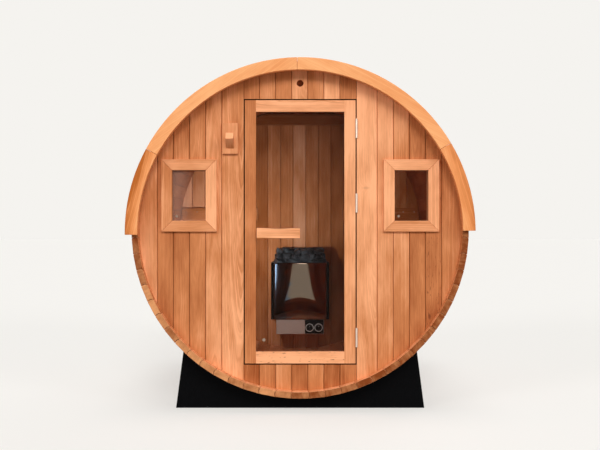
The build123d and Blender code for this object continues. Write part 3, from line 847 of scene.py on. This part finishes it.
class SAUNA_OT_front_wall(bpy.types.Operator):
    """Boards the front wall round the door, the windows and the vent hole"""

    bl_idname = "sauna.front_wall"
    bl_label = "Front wall"

    def execute(self, context):
        size = sizes()
        rng = random.Random("front")
        rim = WALL_RADIUS - MM
        left, right = DOOR_OPENING_X
        pitch = size.board_width
        left_joints = [-rim] + [left - size.left_wide_board - pitch * i for i in (4, 3, 2, 1, 0)] + [left]
        right_joints = [right] + [right + size.right_wide_board + pitch * i for i in range(5)] + [rim]
        door_joints = [left] + [left + pitch * i - 2 * MM for i in range(1, 7)] + [right]
        burl = ((right + 0.052, WALL_Y[0], AXIS_Z + 0.23), 0.02, 2.6)
        dark_knot = ((right + 0.398, WALL_Y[0], AXIS_Z - 0.473), 0.008, 0.5)
        left_looks = {0: {"flat": 0.1, "figure": 0.02}, 5: {"flat": 0.9, "figure": 0.42}}
        right_looks = {0: {"flat": 0.7, "knot": burl}, 4: {"knot": dark_knot, "flecks": 0.8}}
        bottom, top = wall_edge(-1), wall_edge(1)
        lintel, sill = level_edge(DOOR_OPENING_TOP), level_edge(DOOR_OPENING_BOTTOM)
        made = {}
        for name, joints, z_low, z_high, tones, window, looks in (
            ("left", left_joints, bottom, top, LEFT_TONES, window_hole("left"), left_looks),
            ("right", right_joints, bottom, top, RIGHT_TONES_AND_PAINTED_LIGHT, window_hole("right"), right_looks),
            ("over_door", door_joints, lintel, top, OVER_DOOR_TONES, None, None),
            ("under_door", door_joints, bottom, sill, UNDER_DOOR_TONES, None, None),
        ):
            plain = DOOR_OPENING_X if window else ()
            wall = boards_between(joints, z_low, z_high, WALL_Y, tones, rng, window, looks, plain)
            nodes = [f"front_wall_{name}"]
            made[name] = piece(f"front_wall_boards_{name}", wall, "barrel", "cedar", nodes)
        bore(made["over_door"], (0, AXIS_Z + VENT_HEIGHT), VENT_RADIUS, WALL_Y)
        return {"FINISHED"}


def bore(obj, place, radius, y):
    """Drills a round hole along Y through a finished piece."""
    drill = rod((place[0], y[0] - 0.05, place[1]), (place[0], y[1] + 0.05, place[1]), radius, 48)
    tool = in_scene("drill", finished_mesh("drill", drill))
    cut = obj.modifiers.new("bore", "BOOLEAN")
    cut.operation = "DIFFERENCE"
    cut.solver = "EXACT"
    cut.object = tool
    graph = bpy.context.evaluated_depsgraph_get()
    bored = bpy.data.meshes.new_from_object(obj.evaluated_get(graph))
    obj.modifiers.clear()
    obj.data = bored
    bpy.data.objects.remove(tool)


# The widths of the rear wall's lower battens and of the one under the roof.
BATTEN_WIDTH = 88 * MM
TOP_BATTEN_WIDTH = 75 * MM
# How far in from a lower batten's end its screws are, and how far up.
SCREW_INSETS = (0.03, 0.11, 0.42)
SCREW_HEIGHT = 0.06


class SAUNA_OT_rear_wall(bpy.types.Operator):
    """Boards the rear wall and screws its battens on"""

    bl_idname = "sauna.rear_wall"
    bl_label = "Rear wall"

    def execute(self, context):
        rng = random.Random("rear")
        pitch = sizes().rear_board_width
        rim = WALL_RADIUS - MM
        # The joints are counted from just over half a board off the middle, so none falls on it.
        joints = [-rim] + [pitch * (i - 0.55) for i in range(-8, 10)] + [rim]
        # Mixed boards of sapwood and heartwood; those behind the door are set one by one.
        tones = [rng.uniform(0.45, 0.85) for _ in joints]
        tones[6:13] = (0.2, 0.5, 0.45, 0.75, 0.5, 0.4, 0.3)
        wall = boards_between(joints, wall_edge(-1), wall_edge(1), REAR_WALL_Y, tones, rng)
        nodes = ["rear_wall_left", "rear_wall_middle", "rear_wall_right"]
        piece("rear_wall_boards", wall, "barrel", "inside", nodes)

        x, y, z = spans("rear_wall_battens")
        # The batten under the roof ends on the same circle as the lower ones' top corners.
        reach = x[1] ** 2 + (z[0] + BATTEN_WIDTH - AXIS_Z) ** 2
        levels = (z[1] - TOP_BATTEN_WIDTH, z[1])
        lower, upper = (math.sqrt(max(reach - (level - AXIS_Z) ** 2, 0.01)) for level in levels)
        outline = [(-lower, levels[0]), (lower, levels[0]), (upper, levels[1]), (-upper, levels[1])]
        battens = timber()
        board = ease(slab(outline, y), sizes().edge_round)
        join(battens, lay_grain(board, SIDEWAYS, 0.12, rng, flat=0.3))
        for sign in (-1, 1):
            across = sorted((sign * DOOR_OPENING_X[1], sign * x[1]))
            board = ease(box_mesh(across, y, (z[0], z[0] + BATTEN_WIDTH)), sizes().edge_round)
            join(battens, lay_grain(board, SIDEWAYS, 0.45, rng, flat=0.3))
        piece("rear_battens", battens, "barrel", "inside", ["rear_wall_battens"])
        screws = bmesh.new()
        for sign in (-1, 1):
            for inset in SCREW_INSETS:
                across, up = sign * (x[1] - inset), z[0] + SCREW_HEIGHT
                head, end = (across, y[0] - MM, up), (across, y[0] + 4 * MM, up)
                join(screws, rod(head, end, 4.5 * MM, 16, 0.5 * MM))
        piece("batten_screws", screws, "barrel", "hinge")
        return {"FINISHED"}


# ---- Trim ----
# Each trim board's tone at its inner and its outer edge, since sapwood is left along some, and how
# its grain leans: a board is sawn from a straight plank, so its grain runs along its chord.
TRIM_LOOKS = {
    "upper_left": (0.84, 0.8, 36),
    "lower_left": (0.78, 0.05, 76),
    "upper_right": (0.8, 0.7, -28),
    "lower_right": (0.66, 0.3, -74),
}


def trim_places(end, side):
    """A trim board pair's joint angle about the trim's own centre, its top cut and its foot."""
    upper, lower = f"{end}_trim_upper_{side}", f"{end}_trim_lower_{side}"
    inner = TRIM_RADIUS - sizes().trim_width
    joint = math.asin((low(upper, 2) - TRIM_Z) / inner)
    top = high(upper, 0) if side == "left" else low(upper, 0)
    return joint, top, low(lower, 2) - TRIM_Z


def trim_outline(sign, radii, angles):
    """A trim board's outline: its outer edge from one angle to another, and its inner edge back."""
    points = around(radii[0], TRIM_Z, *angles[0]) + around(radii[1], TRIM_Z, *reversed(angles[1]))
    return [(sign * px, pz) for px, pz in points]


def tone_across(radii, first, last):
    """A rule for lay_grain: the tone at the trim's inner edge turns to that at its outer edge."""
    outer, inner = radii

    def rule(place):
        share = (math.hypot(place.x, place.z - TRIM_Z) - inner) / (outer - inner)
        return first + (last - first) * min(1, max(0, share))

    return rule


class SAUNA_OT_trim(bpy.types.Operator):
    """Saws the curved trim boards and fits them over the ends of the upper staves"""

    bl_idname = "sauna.trim"
    bl_label = "Trim"

    def execute(self, context):
        radii = (TRIM_RADIUS, TRIM_RADIUS - sizes().trim_width)
        gap = 0.5 * MM / TRIM_RADIUS
        for end in ("front", "rear"):
            rng = random.Random("trim" + end)
            for side, sign in (("left", -1), ("right", 1)):
                joint, top, foot = trim_places(end, side)
                shapes = {
                    "upper": [(joint + gap, math.acos(sign * top / radius) - gap) for radius in radii],
                    "lower": [(math.asin(foot / radius), joint - gap) for radius in radii],
                }
                for level, angles in shapes.items():
                    place = f"{level}_{side}"
                    node = f"{end}_trim_{place}"
                    y = span(node, 1)
                    board = ease(slab(trim_outline(sign, radii, angles), y), sizes().edge_round)
                    first, last, lean = TRIM_LOOKS[place]
                    chord = (math.cos(math.radians(lean)), 0, math.sin(math.radians(lean)))
                    rule = tone_across(radii, first, last)
                    lay_grain(board, chord, rule, rng, flat=0.4, face=outward(y[0]), figure=0.3)
                    piece(f"{end}_trim_board_{place}", board, "barrel", "trim", [node])
        return {"FINISHED"}


# ---- Cradles ----
class SAUNA_OT_cradles(bpy.types.Operator):
    """Saws the black cradles to the barrel's curve"""

    bl_idname = "sauna.cradles"
    bl_label = "Cradles"

    def execute(self, context):
        seat = BARREL_RADIUS + 0.3 * MM
        for end in ("front", "rear"):
            node = f"{end}_cradle"
            x, y, z = spans(node)
            start = math.atan2(z[1] - AXIS_Z, math.sqrt(seat ** 2 - (z[1] - AXIS_Z) ** 2))
            hollow = around(seat, AXIS_Z, start, -math.pi - start)
            board = ease(slab([(-x[1], z[0]), (x[1], z[0]), *hollow], y), 2.5 * MM)
            piece(f"{end}_cradle_plate", board, "barrel", "plastic", [node])
        return {"FINISHED"}


# ---- Door ----
def glass_dot(x, y, z, radius):
    """A sandblasted dot on the front face of a pane."""
    return rod((x, y - 0.3 * MM, z), (x, y, z), radius, 32)


class SAUNA_OT_door(bpy.types.Operator):
    """Joins the door's stiles and rails round its glass, and hangs it on its hinges"""

    bl_idname = "sauna.door"
    bl_label = "Door"

    def execute(self, context):
        rng = random.Random("door")
        for node, along, tone, look in (
            ("door_left_stile", UPRIGHT, (0.36, 0.42), {"flat": 0.5, "figure": 0.1}),
            # The right stile grows paler upwards: painted light, as on the boards right of the door.
            ("door_right_stile", UPRIGHT, (0.68, 0.95), {"flat": 0.3, "figure": 0.1}),
            ("door_top_rail", SIDEWAYS, 0.9, {"flat": 0.9, "figure": 0.5}),
            ("door_bottom_rail", SIDEWAYS, 0.96, {"flat": 0.2, "figure": 0.3, "flecks": 0.9}),
        ):
            board = ease(box_mesh(*spans(node)), 0.8 * MM)
            board = join(timber(), lay_grain(board, along, tone, rng, **look))
            piece(f"{node}_board", board, "door", "cedar", [node])
        finish_node("door_glass", "glass")
        finish_node("door_hinge_leaves", "hinge")
        finish_node("frame_hinge_leaves", "hinge")
        x, y, z = spans("door_glass")
        dot = glass_dot(x[0] + 0.055, y[0], z[0] + 0.075, 8.5 * MM)
        piece("door_glass_spot", dot, "door", "spot")
        return {"FINISHED"}


def four_bars(x, y, z, width):
    """Four bars round an opening and the way each runs: two uprights, and two across between them."""
    for side in ((x[0], x[0] + width), (x[1] - width, x[1])):
        yield box_mesh(side, y, z), UPRIGHT
    for height in ((z[0], z[0] + width), (z[1] - width, z[1])):
        yield box_mesh((x[0] + width, x[1] - width), y, height), SIDEWAYS


class SAUNA_OT_door_stops(bpy.types.Operator):
    """Nails the stops on the inside of the wall, round the door"""

    bl_idname = "sauna.door_stops"
    bl_label = "Door stops"

    def execute(self, context):
        rng = random.Random("stops")
        x, y, z = spans("door_stops")
        stops = timber()
        for bar, along in four_bars(x, y, z, 48 * MM):
            join(stops, lay_grain(ease(bar, sizes().edge_round), along, 0.4, rng))
        piece("door_stop_boards", stops, "barrel", "cedar", ["door_stops"])
        # A black foam seal lies on the wall side of the stops, behind the edge of the door, and a thin lip of
        # it lines the opening. The lip is painted shade: a black lining where the gap round the door is in
        # shade.
        seal = bmesh.new()
        deep = (y[0] - 4 * MM, y[0])
        clear = 0.3 * MM
        x = (DOOR_OPENING_X[0] + clear, DOOR_OPENING_X[1] - clear)
        z = (DOOR_OPENING_BOTTOM + clear, DOOR_OPENING_TOP - clear)
        for bar, _ in four_bars(x, deep, z, 8 * MM):
            join(seal, ease(bar, 1.2 * MM))
        for painted_shade_lip, _ in four_bars(x, (WALL_Y[0] + 3 * MM, deep[0]), z, 2 * MM):
            join(seal, painted_shade_lip)
        piece("door_seal", seal, "barrel", "seal")
        return {"FINISHED"}


class SAUNA_OT_handle(bpy.types.Operator):
    """Shapes the two handle boards and their stand-offs"""

    bl_idname = "sauna.handle"
    bl_label = "Door handle"

    def execute(self, context):
        rng = random.Random("handle")
        x, y, z = spans("door_handle")
        thickness = 20 * MM
        dish = 4 * MM
        width = x[1] - x[0]
        # The top edge is dished for the hand between two raised ends, in 12 steps.
        shares = [i / 12 for i in range(13)]
        crest = [(x[1] - width * t, z[1] - dish * math.sin(math.pi * t) ** 2) for t in shares]
        boards = timber()
        for depth in ((y[0], y[0] + thickness), (y[1] - thickness, y[1])):
            board = ease(slab([(x[0], z[0]), (x[1], z[0]), *crest], depth), 2 * MM)
            join(boards, lay_grain(board, SIDEWAYS, (0.95, 0.85), rng, flat=0.6, figure=0.6))
        piece("door_handle_boards", boards, "door", "cedar", ["door_handle"])
        studs = bmesh.new()
        glass = span("door_glass", 1)
        middle = (z[0] + z[1]) / 2
        for stud_x in (x[0] + 45 * MM, x[1] - 45 * MM):
            for near, far in ((y[0] + thickness, glass[0]), (glass[1], y[1] - thickness)):
                join(studs, rod((stud_x, near, middle), (stud_x, far, middle), 9 * MM, 24, 0.8 * MM))
        piece("door_handle_studs", studs, "door", "hinge")
        return {"FINISHED"}


# ---- Windows ----
def casing_boards(side, y, tones, rng):
    """Four mitred boards round a window between two depths, a hair apart at the mitres."""
    x, _, z = spans(f"{side}_window_casing")
    width = sizes().casing_width
    ix, iz = (x[0] + width, x[1] - width), (z[0] + width, z[1] - width)
    gap = 0.3 * MM
    left, right = (
        [(x[0], z[0] + gap), (ix[0], iz[0] + gap), (ix[0], iz[1] - gap), (x[0], z[1] - gap)],
        [(x[1], z[0] + gap), (x[1], z[1] - gap), (ix[1], iz[1] - gap), (ix[1], iz[0] + gap)],
    )
    top, bottom = (
        [(x[0] + gap, z[1]), (ix[0] + gap, iz[1]), (ix[1] - gap, iz[1]), (x[1] - gap, z[1])],
        [(x[0] + gap, z[0]), (x[1] - gap, z[0]), (ix[1] - gap, iz[0]), (ix[0] + gap, iz[0])],
    )
    ways = ((left, UPRIGHT), (right, UPRIGHT), (top, SIDEWAYS), (bottom, SIDEWAYS))
    casing = timber()
    for (points, along), tone in zip(ways, tones):
        board = ease(slab(points, y), 2.4 * MM)
        join(casing, lay_grain(board, along, tone, rng, flat=0.25))
    return casing


class SAUNA_OT_windows(bpy.types.Operator):
    """Cases the two fixed windows inside and out, and finishes their panes"""

    bl_idname = "sauna.windows"
    bl_label = "Windows"

    def execute(self, context):
        rng = random.Random("windows")
        # The tones of a window's boards: left, right, top and bottom.
        for side, tones in (("left", (0.66, 0.92, 0.66, 0.67)), ("right", (0.9, 0.95, 0.86, 0.68))):
            y = span(f"{side}_window_casing", 1)
            casing = casing_boards(side, (y[0], WALL_Y[0]), tones, rng)
            join(casing, casing_boards(side, (WALL_Y[1], y[1]), tones, rng))
            piece(f"{side}_casing_boards", casing, "barrel", "cedar", [f"{side}_window_casing"])
            hole = window_hole(side)
            dot = glass_dot(hole[0] + 0.033, low("window_panes", 1), hole[2] + 0.035, 7 * MM)
            piece(f"{side}_pane_spot", dot, "barrel", "spot")
        finish_node("window_panes", "glass")
        return {"FINISHED"}


# ---- Coat hook ----
class SAUNA_OT_coat_hook(bpy.types.Operator):
    """Makes the coat hook: a small board with a square peg that leans up and out"""

    bl_idname = "sauna.coat_hook"
    bl_label = "Coat hook"

    def execute(self, context):
        rng = random.Random("hook")
        x, y, z = spans("coat_hook")
        front = WALL_Y[0] - 19 * MM
        hook = timber()
        board = ease(box_mesh(x, (front, WALL_Y[0]), z), 2 * MM)
        join(hook, lay_grain(board, UPRIGHT, 0.68, rng, flat=0.4))
        # The square peg is made level, with its tail in the board, and then leant up from its foot.
        side = 42 * MM
        tail = 12 * MM
        tilt = math.radians(36)
        reach = (front - y[0]) / math.cos(tilt)
        peg = ease(box_mesh((-side / 2, side / 2), (-reach, tail), (0, side)), 1.5 * MM)
        # The peg is palest at its tip and darker towards the board: painted light on its lit tip.
        lay_grain(peg, LENGTHWAYS, (0.98, 0.5), rng, flat=0.5, face=(0, 0, -1))
        foot = Vector(((x[0] + x[1]) / 2, front, (z[0] + z[1]) / 2 - 55 * MM))
        turn = Matrix.Translation(foot) @ Matrix.Rotation(-tilt, 4, "X")
        bmesh.ops.transform(peg, matrix=turn, verts=peg.verts)
        join(hook, peg)
        piece("coat_hook_board", hook, "barrel", "cedar", ["coat_hook"])
        return {"FINISHED"}


# ---- Heater ----
def rock(place, size, rng):
    """One split stone: the blocky hull of a few scattered points, its edges knocked off.

    place is the middle of its top, as it lies.
    """
    bm = bmesh.new()
    for _ in range(13):
        way = Vector([rng.gauss(0, 1) for _ in range(3)]).normalized()
        # A power under 1 pushes the points of a ball out towards the corners of a block.
        bm.verts.new([math.copysign(abs(way[i]) ** 0.6, way[i]) * size[i] / 2 for i in range(3)])
    bmesh.ops.convex_hull(bm, input=bm.verts)
    bmesh.ops.delete(bm, geom=[v for v in bm.verts if not v.link_faces], context="VERTS")
    ease(bm, min(size) * 0.04, [e for e in bm.edges if e.calc_face_angle(0) > 0.3], segments=1)
    turn = Euler([rng.uniform(-0.5, 0.5), rng.uniform(-0.5, 0.5), rng.uniform(-0.7, 0.7)])
    bmesh.ops.rotate(bm, verts=bm.verts, matrix=turn.to_matrix())
    widths = [max(v.co[i] for v in bm.verts) - min(v.co[i] for v in bm.verts) for i in range(3)]
    bmesh.ops.scale(bm, verts=bm.verts, vec=[want / is_now for want, is_now in zip(size, widths)])
    top = max(v.co.z for v in bm.verts)
    bmesh.ops.translate(bm, verts=bm.verts, vec=Vector(place) - Vector((0, 0, top)))
    return bm


class SAUNA_OT_stones(bpy.types.Operator):
    """Heaps dark split stones in the heater"""

    bl_idname = "sauna.stones"
    bl_label = "Heater stones"

    def execute(self, context):
        rng = random.Random("stones")
        wide = sizes().stone_size
        tall = wide * 0.7
        x, y, z = spans("heater_stones")
        rim = high("heater_body", 2)
        heap = bmesh.new()
        # Each course: how high its top is, how far in from the tray it stands, and its stones across
        # and deep.
        step = (z[1] - rim) / 3
        courses = (
            (rim + 8 * MM, 0.0, 6, 4), (z[1] - 2 * step, 2 * MM, 6, 5),
            (z[1] - step, 6 * MM, 6, 5), (z[1], 14 * MM, 6, 5),
        )
        draw = rng.uniform
        for height, inset, columns, rows in courses:
            for i in range(columns):
                for j in range(rows):
                    size = [wide * draw(0.95, 1.3), wide * draw(0.9, 1.2), tall * draw(0.9, 1.25)]
                    # An outer stone's middle is a little over half its size inside the tray.
                    reach = (size[0] * 0.56 + inset, size[1] * 0.56 + inset)
                    place = (
                        x[0] + reach[0] + (x[1] - x[0] - 2 * reach[0]) * i / (columns - 1),
                        y[0] + reach[1] + (y[1] - y[0] - 2 * reach[1]) * j / (rows - 1),
                        height - draw(0, 9) * MM,
                    )
                    join(heap, rock(place, size, rng))
        piece("heater_stone_heap", heap, "barrel", "stone", ["heater_stones"])
        return {"FINISHED"}


def sprung_sheet(x, z, y, bulge):
    """A bright sheet that springs forward in the middle, with returns back to the heater's body."""
    bm = bmesh.new()
    bmesh.ops.create_grid(bm, x_segments=40, y_segments=40, size=0.5)
    for v in bm.verts:
        u, down = v.co.x * 2, 0.5 - v.co.y
        # Tightly curved across at the top and flatter towards the bottom, where it is also turned in.
        turned_in = max(0, (down - 0.2) / 0.8) ** 3
        tight = 0.05 + 0.6 * down
        across = (math.sqrt(tight * tight + u * u) - tight) / (math.sqrt(tight * tight + 1) - tight)
        across *= 1 - 0.5 * down
        v.co = Vector((
            x[0] + (x[1] - x[0]) * (u + 1) / 2,
            y[0] + bulge * (turned_in + (1 - turned_in) * across),
            z[1] - (z[1] - z[0]) * down,
        ))
    rim = [e for e in bm.edges if e.is_boundary]
    for v in verts_of(bmesh.ops.extrude_edge_only(bm, edges=rim)):
        v.co.y = y[1]
    bmesh.ops.recalc_face_normals(bm, faces=bm.faces)
    for face in bm.faces:
        face.smooth = abs(face.normal.y) > 0.5
    return bm


# The dials' places across, their knobs, and how far right of the panel's left end their plate starts.
DIALS_X = (66 * MM, 129 * MM)
KNOB_RADIUS = 17 * MM
PLATE_INSET = 0.2


class SAUNA_OT_heater(bpy.types.Operator):
    """Folds the heater's body and bright cover, and fits its panel and knobs"""

    bl_idname = "sauna.heater"
    bl_label = "Heater"

    def execute(self, context):
        body = box_mesh(*spans("heater_body"))
        # The tray for the stones is sunk in from the top, 0.2 m deep inside walls 12 mm thick.
        top = max(body.faces, key=lambda f: f.calc_center_median().z)
        bmesh.ops.inset_region(body, faces=[top], thickness=12 * MM, use_even_offset=True)
        sunk = bmesh.ops.extrude_face_region(body, geom=[top])
        bmesh.ops.translate(body, verts=verts_of(sunk), vec=(0, 0, -0.2))
        if top.is_valid:
            bmesh.ops.delete(body, geom=[top], context="FACES")
        piece("heater_case", ease(body, 2.5 * MM), "barrel", "enamel", ["heater_body"])

        x, y, z = spans("heater_front_cover")
        cover = sprung_sheet(x, z, y, y[1] - y[0] - 0.5 * MM)
        piece("heater_bright_cover", cover, "barrel", "mirror", ["heater_front_cover"])
        finish_node("heater_brackets", "enamel")

        x, y, z = spans("heater_control_panel")
        front = y[0] + 14 * MM
        panel = ease(box_mesh(x, (front, y[1]), z), 2 * MM)
        piece("heater_panel", panel, "barrel", "panel", ["heater_control_panel"])
        # The dials are on a black plate that covers the right of the panel inside a 3 mm rim.
        plate_y = front - 1.5 * MM
        rim = 3 * MM
        plate = box_mesh((x[0] + PLATE_INSET, x[1] - rim), (plate_y, front), (z[0] + rim, z[1] - rim))
        piece("heater_dial_plate", ease(plate, 0.5 * MM), "barrel", "enamel")
        dial_z = (z[0] + z[1]) / 2 - 6 * MM
        knobs = bmesh.new()
        marks = bmesh.new()
        for dial_x in DIALS_X:
            centre = (dial_x, plate_y, dial_z)
            join(knobs, rod(centre, (dial_x, y[0] + 0.5 * MM, dial_z), KNOB_RADIUS, 32, 2 * MM))
            join(marks, ring_plate(centre, 28.5 * MM, 24 * MM, 0.5 * MM))
            # A pale line on the knob's face points upwards.
            pointer = (dial_z + 5 * MM, dial_z + 14 * MM)
            join(marks, box_mesh((dial_x - MM, dial_x + MM), (y[0], y[0] + MM), pointer))
        piece("heater_knobs", knobs, "barrel", "enamel")
        piece("heater_dial_rings", marks, "barrel", "ink")
        return {"FINISHED"}


def ring_plate(centre, outer, inner, thickness):
    """A thin flat ring that stands on a face looking towards -Y."""
    bm = bmesh.new()
    bmesh.ops.create_circle(bm, segments=48, radius=outer, cap_ends=True)
    disc = bm.faces[:]
    bmesh.ops.inset_region(bm, faces=disc, thickness=outer - inner, use_even_offset=True, use_boundary=True)
    bmesh.ops.delete(bm, geom=disc, context="FACES_ONLY")
    pulled = bmesh.ops.extrude_face_region(bm, geom=bm.faces[:])
    bmesh.ops.translate(bm, verts=verts_of(pulled), vec=(0, 0, thickness))
    turn = Matrix.Translation(centre) @ Matrix.Rotation(math.pi / 2, 4, "X")
    bmesh.ops.transform(bm, matrix=turn, verts=bm.verts)
    bmesh.ops.recalc_face_normals(bm, faces=bm.faces)
    return bm


# ---- Stage ----
# How much of the real light and shadow the floor takes, and how bright the rest of it is.
FLOOR_SHADE = 0.45
FLOOR_GLOW = 1.07
# The strength of the even light from all round.
WORLD_LIGHT = 0.18
# Each far lamp's name, the way from the sauna to it, its share of full light and its softness in
# degrees.
FAR_LAMPS = (
    ("top", (0.1, -1.0, 0.6), 0.445, 22),
    ("left", (-1.0, -1.0, 0.5), 0.26, 20),
    ("right", (1.0, -1.0, 0.5), 0.23, 20),
    ("overhead", (0.0, 0.0, 1.0), 0.29, 30),
    ("behind", (0.4, 1.0, 0.5), 0.16, 30),
)
# The camera is level, a little above the barrel's axis and so far in front of its end.
LENS_MM = 54.5
CAMERA_RISE = 0.027
CAMERA_DISTANCE = 4.92


def seen_straight(tree):
    """1 for what the camera sees directly, in a reflection or through glass, and 0 for lighting."""
    path = add(tree, "LightPath").node.outputs
    seen = path["Is Camera Ray"]
    for way in ("Is Glossy Ray", "Is Transmission Ray"):
        seen = add(tree, "Math", {"operation": "MAXIMUM"}, {0: seen, 1: path[way]})
    return seen


def studio_world(ground):
    """The pale ground colour to the camera and in reflections, and a soft even light on all else."""
    world = bpy.data.worlds.new("studio")
    bpy.context.scene.world = world
    world.use_nodes = True
    tree = world.node_tree
    tree.nodes.clear()
    soft = add(tree, "Background", inputs={"Color": (1.0, 0.985, 0.96, 1.0), "Strength": WORLD_LIGHT})
    shown = add(tree, "Background", inputs={"Color": rgba(ground), "Strength": 1.0})
    both = add(tree, "MixShader", inputs={0: seen_straight(tree), 1: soft, 2: shown})
    add(tree, "OutputWorld", inputs={"Surface": both})


def floor_material(ground):
    """Pale seamless paper: its own colour to the camera, with a share of the real light and shadow."""
    constants = {"Base Color": (0.28, 0.275, 0.27, 1.0), "Roughness": 0.9, "Specular IOR Level": 0.0}
    material, tree, shader = new_material("paper_seamless", constants)
    glow = add(tree, "Emission", inputs={"Color": rgba(ground), "Strength": FLOOR_GLOW})
    lit = add(tree, "BsdfDiffuse", inputs={"Color": rgba(ground)})
    veiled = add(tree, "MixShader", inputs={0: FLOOR_SHADE, 1: glow, 2: lit})
    both = {0: seen_straight(tree), 1: shader.outputs[0], 2: veiled}
    output = next(n for n in tree.nodes if n.type == "OUTPUT_MATERIAL")
    tree.links.new(add(tree, "MixShader", inputs=both), output.inputs["Surface"])
    return material


def far_lamp(name, toward, share, softness):
    """A wide, far white lamp: toward points from the sauna to it, and share is its part of full light."""
    data = bpy.data.lights.new(name, "SUN")
    data.energy = math.pi * share
    data.angle = math.radians(softness)
    in_scene(name, data).rotation_euler = Vector(toward).to_track_quat("Z", "Y").to_euler()


def box_lamp(name, place, target, size, power, spread=180):
    """A soft box at a place, aimed at a target, that no picture or reflection shows.

    size is its width and height in metres, power its watts and spread its cone in degrees.
    """
    data = bpy.data.lights.new(name, "AREA")
    data.shape = "RECTANGLE"
    data.size, data.size_y = size
    data.energy = power
    data.spread = math.radians(spread)
    lamp = in_scene(name, data)
    lamp.location = place
    lamp.rotation_euler = (Vector(target) - Vector(place)).to_track_quat("-Z", "Y").to_euler()
    lamp.visible_camera = False
    lamp.visible_glossy = False
    return lamp


def light_the_sauna():
    """The far lamps, a soft box in front of the door, and three small lamps inside."""
    for lamp in FAR_LAMPS:
        far_lamp(*lamp)
    door = Vector((0, WALL_Y[0], AXIS_Z))
    box_lamp("key", (-0.1, door.y - 5.2, AXIS_Z + 0.15), door, (1.0, 1.0), 3.0, 60)
    near, far = WALL_Y[1] + 0.1, REAR_WALL_Y[0]
    # A small lamp on the left inside, so that the heater and the battens stand out.
    box_lamp("inside", (-0.41, near, AXIS_Z - 0.14), (-0.45, far, AXIS_Z - 0.02), (0.09, 0.09), 5.2, 76)
    # A faint upright strip beside it, which the heater's bright cover shows along its left edge.
    strip_z = AXIS_Z - 0.45
    strip = box_lamp("strip", (-0.375, near, strip_z), (-0.1, far, strip_z), (0.02, 0.5), 0.2)
    strip.visible_glossy = True
    # A faint warm lamp, so that the rear right corner isn't black through the right window.
    place, target = (0.6, near, AXIS_Z + 0.3), (0.74, far, AXIS_Z + 0.1)
    corner = box_lamp("far_corner", place, target, (0.09, 0.09), 0.25, 42)
    corner.data.color = (1.0, 0.72, 0.4)


def lay_floor(ground):
    """A floor that reaches far past the camera's view."""
    bm = bmesh.new()
    bmesh.ops.create_grid(bm, x_segments=1, y_segments=1, size=60.0)
    mesh = finished_mesh("floor", bm)
    mesh.materials.append(floor_material(ground))
    floor = in_scene("floor", mesh)


def place_camera():
    """A camera that looks level along the barrel."""
    data = bpy.data.cameras.new("camera")
    data.sensor_width = 36.0
    data.lens = LENS_MM
    data.clip_start = 0.05
    data.clip_end = 200.0
    camera = in_scene("camera", data)
    camera.location = (-0.001, -BARREL_END - CAMERA_DISTANCE, AXIS_Z + CAMERA_RISE)
    camera.rotation_euler = (math.pi / 2, 0, 0)
    bpy.context.scene.camera = camera


class SAUNA_OT_stage(bpy.types.Operator):
    """Sets the floor, the soft light and the camera in front of the door"""

    bl_idname = "sauna.stage"
    bl_label = "Stage"

    def execute(self, context):
        ground = colours().ground
        studio_world(ground)
        lay_floor(ground)
        light_the_sauna()
        place_camera()
        context.scene.view_settings.view_transform = "Standard"
        return {"FINISHED"}


OPERATORS = (
    SAUNA_OT_staves, SAUNA_OT_bands, SAUNA_OT_front_wall, SAUNA_OT_rear_wall, SAUNA_OT_trim,
    SAUNA_OT_cradles, SAUNA_OT_door, SAUNA_OT_door_stops, SAUNA_OT_handle, SAUNA_OT_windows,
    SAUNA_OT_coat_hook, SAUNA_OT_heater, SAUNA_OT_stones, SAUNA_OT_stage,
)


class SAUNA_PT_panel(bpy.types.Panel):
    """Lists the sauna's sizes, colours and pieces"""

    bl_idname = "SAUNA_PT_panel"
    bl_label = "Barrel sauna"
    bl_space_type = "VIEW_3D"
    bl_region_type = "UI"
    bl_category = "Sauna"

    def draw(self, context):
        for group in (context.scene.sauna_sizes, context.scene.sauna_colours):
            box = self.layout.box()
            for name in group.__annotations__:
                box.prop(group, name)
        for operator in OPERATORS:
            self.layout.operator(operator.bl_idname)


CLASSES = (SaunaSizes, SaunaColours, *OPERATORS, SAUNA_PT_panel)


def register():
    """Adds the sizes, the colours, the operators and the panel to Blender."""
    for item in CLASSES:
        bpy.utils.register_class(item)
    bpy.types.Scene.sauna_sizes = bpy.props.PointerProperty(type=SaunaSizes)
    bpy.types.Scene.sauna_colours = bpy.props.PointerProperty(type=SaunaColours)


def unregister():
    """Takes them away again, the last first."""
    del bpy.types.Scene.sauna_colours
    del bpy.types.Scene.sauna_sizes
    for item in reversed(CLASSES):
        bpy.utils.unregister_class(item)


def main():
    """Builds the whole sauna round the frame."""
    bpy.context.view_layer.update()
    register()
    MATERIALS.update(make_materials())
    for operator in OPERATORS:
        group, name = operator.bl_idname.split(".")
        getattr(getattr(bpy.ops, group), name)()


if __name__ == "__main__":
    main()
